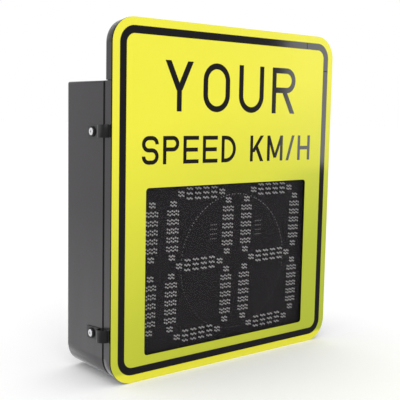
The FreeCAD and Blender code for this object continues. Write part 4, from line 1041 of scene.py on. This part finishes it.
@dataclass(frozen=True)
class Lamp:
    """A soft lamp that looks at a point."""

    name: str
    place: tuple[float, float, float]
    target: tuple[float, float, float]
    width: float
    height: float
    power: float

    def light(self) -> None:
        """Makes the lamp."""
        data = bpy.data.lights.new(self.name, "AREA")
        data.shape = "RECTANGLE"
        data.size, data.size_y = self.width, self.height
        data.energy = self.power
        lamp = bpy.data.objects.new(self.name, data)
        lamp.location = self.place
        lamp.rotation_euler = (Vector(self.target) - Vector(self.place)).to_track_quat("-Z", "Y").to_euler()
        bpy.context.collection.objects.link(lamp)


@dataclass
class Studio:
    """A pale floor, soft light and the camera."""

    camera_place: tuple[float, float, float] = (-1.1188, -1.34755, 0.5371)
    yaw: float = math.radians(-39.324)
    pitch: float = math.radians(-6.311)
    roll: float = math.radians(1.105)
    lens: float = 70.98
    sensor: float = 36.0
    floor_size: float = 60.0
    floor_gap: float = 0.2 * MM
    floor_roughness: float = 0.9
    floor_specular: float = 0.1
    floor_colour: Colour = (0.95, 0.95, 0.95)
    floor_near: float = 0.8
    floor_far: float = 3.0
    floor_glow: tuple[float, float] = (0.06, 0.14)
    sky_seen: float = 1.0
    sky_fill: float = 0.95
    sky_front: float = 0.28
    sky_rear: float = 0.9
    sky_turn: tuple[float, float] = (0.0, 0.5)
    lamps: tuple[Lamp, ...] = (
        Lamp("key_lamp", (-1.0, -1.7, 2.0), (0.0, 0.0, 0.55), 1.4, 1.0, 7.0),
        Lamp("top_lamp", (0.2, 0.5, 2.6), (0.0, 0.0, 0.3), 2.4, 2.4, 8.0),
        Lamp("side_lamp", (-2.6, 0.4, 1.0), (0.0, 0.0, 0.35), 1.6, 1.6, 3.0),
    )
    card_low: tuple[float, float, float] = (1.57, -1.5, 0.29)
    card_width: float = 0.95
    card_height: float = 1.3
    card_strength: float = 4.8

    def floor(self) -> None:
        """Lays the floor just under the sign."""
        deselect()
        bpy.ops.mesh.primitive_plane_add(size=self.floor_size, location=(0, 0, -self.floor_gap))
        floor = bpy.context.object
        floor.name = "studio_floor"
        material = bpy.data.materials.new("studio_floor")
        material.use_nodes = True
        wiring = Wiring(material.node_tree)
        away = wiring.node("ShaderNodeVectorMath", {0: wiring.place()}, operation="LENGTH").outputs["Value"]
        # painted light: the floor glows, a little beside the sign, which lightens its contact shadow, and
        # more far off, which hides the horizon
        inputs = {
            "Base Color": (*self.floor_colour, 1.0),
            "Roughness": self.floor_roughness,
            "Specular IOR Level": self.floor_specular,
            "Emission Color": (1.0, 1.0, 1.0, 1.0),
            "Emission Strength": wiring.ramp(away, self.floor_near, self.floor_far, *self.floor_glow),
        }
        shader = wiring.node("ShaderNodeBsdfPrincipled", inputs)
        wiring.node("ShaderNodeOutputMaterial", {"Surface": shader.outputs["BSDF"]})
        floor.data.materials.append(material)
        floor.visible_glossy = False

    def card(self) -> None:
        """Hangs the bright card whose reflection shows on the glossy film."""
        deselect()
        bpy.ops.mesh.primitive_plane_add(size=1.0, location=(0, 0, 0))
        card = bpy.context.object
        card.name = "studio_card"
        card.scale = (self.card_width, self.card_height, 1.0)
        card.rotation_euler = (math.pi / 2, 0, 0)
        low = Vector(self.card_low)
        card.location = low + Vector((self.card_width / 2, 0, self.card_height / 2))
        material = bpy.data.materials.new("studio_card")
        material.use_nodes = True
        wiring = Wiring(material.node_tree)
        glow = wiring.node("ShaderNodeEmission", {"Strength": self.card_strength})
        wiring.node("ShaderNodeOutputMaterial", {"Surface": glow.outputs[0]})
        card.data.materials.append(material)
        card.visible_camera = False
        card.visible_diffuse = False
        card.visible_shadow = False
        card.visible_transmission = False

    def sky(self) -> None:
        """Sets a white background that glossy surfaces see dim in front of the sign and bright behind it."""
        world = bpy.data.worlds.new("studio_sky")
        bpy.context.scene.world = world
        world.use_nodes = True
        wiring = Wiring(world.node_tree)
        path = wiring.node("ShaderNodeLightPath").outputs
        seen = wiring.ramp(path["Is Camera Ray"], 0.0, 1.0, self.sky_fill, self.sky_seen)
        towards = wiring.node("ShaderNodeTexCoord").outputs["Generated"]
        behind = wiring.node("ShaderNodeSeparateXYZ", {0: towards}).outputs["Y"]
        levels = (self.sky_front - self.sky_fill, self.sky_rear - self.sky_fill)
        turned = wiring.ramp(behind, *self.sky_turn, *levels)
        mirrored = wiring.math("MULTIPLY", turned, path["Is Glossy Ray"])
        strength = wiring.math("ADD", seen, mirrored)
        glow = wiring.node("ShaderNodeBackground", {"Color": (1.0, 1.0, 1.0, 1.0), "Strength": strength})
        wiring.node("ShaderNodeOutputWorld", {"Surface": glow.outputs[0]})

    def camera(self) -> None:
        """Sets the camera where the photograph was taken from."""
        level = math.cos(self.pitch)
        ahead = Vector((-math.sin(self.yaw) * level, math.cos(self.yaw) * level, math.sin(self.pitch)))
        right = Vector((math.cos(self.yaw), math.sin(self.yaw), 0))
        up = right.cross(ahead)
        tilted_right = math.cos(self.roll) * right + math.sin(self.roll) * up
        tilted_up = math.cos(self.roll) * up - math.sin(self.roll) * right
        data = bpy.data.cameras.new("photo_camera")
        data.lens, data.sensor_width = self.lens, self.sensor
        camera = bpy.data.objects.new("photo_camera", data)
        turn = Matrix((tilted_right, tilted_up, -ahead)).transposed().to_4x4()
        camera.matrix_world = Matrix.Translation(self.camera_place) @ turn
        bpy.context.collection.objects.link(camera)
        bpy.context.scene.camera = camera

    def build(self) -> None:
        """Sets up the studio."""
        self.floor()
        self.card()
        self.sky()
        for lamp in self.lamps:
            lamp.light()
        self.camera()
        bpy.context.scene.view_settings.view_transform = "Standard"


def main() -> None:
    """Builds the sign's looks, one sub-assembly after another."""
    logging.basicConfig(level=logging.INFO, format="%(name)s: %(message)s")
    wardrobe = Wardrobe()
    for assembly in (SignFace(), Display(), Case(), Clamps(), RearFittings(), Inside()):
        assembly.build(wardrobe)
        LOG.info("%s done", type(assembly).__name__)
    Studio().build()


if __name__ == "__main__":
    main()
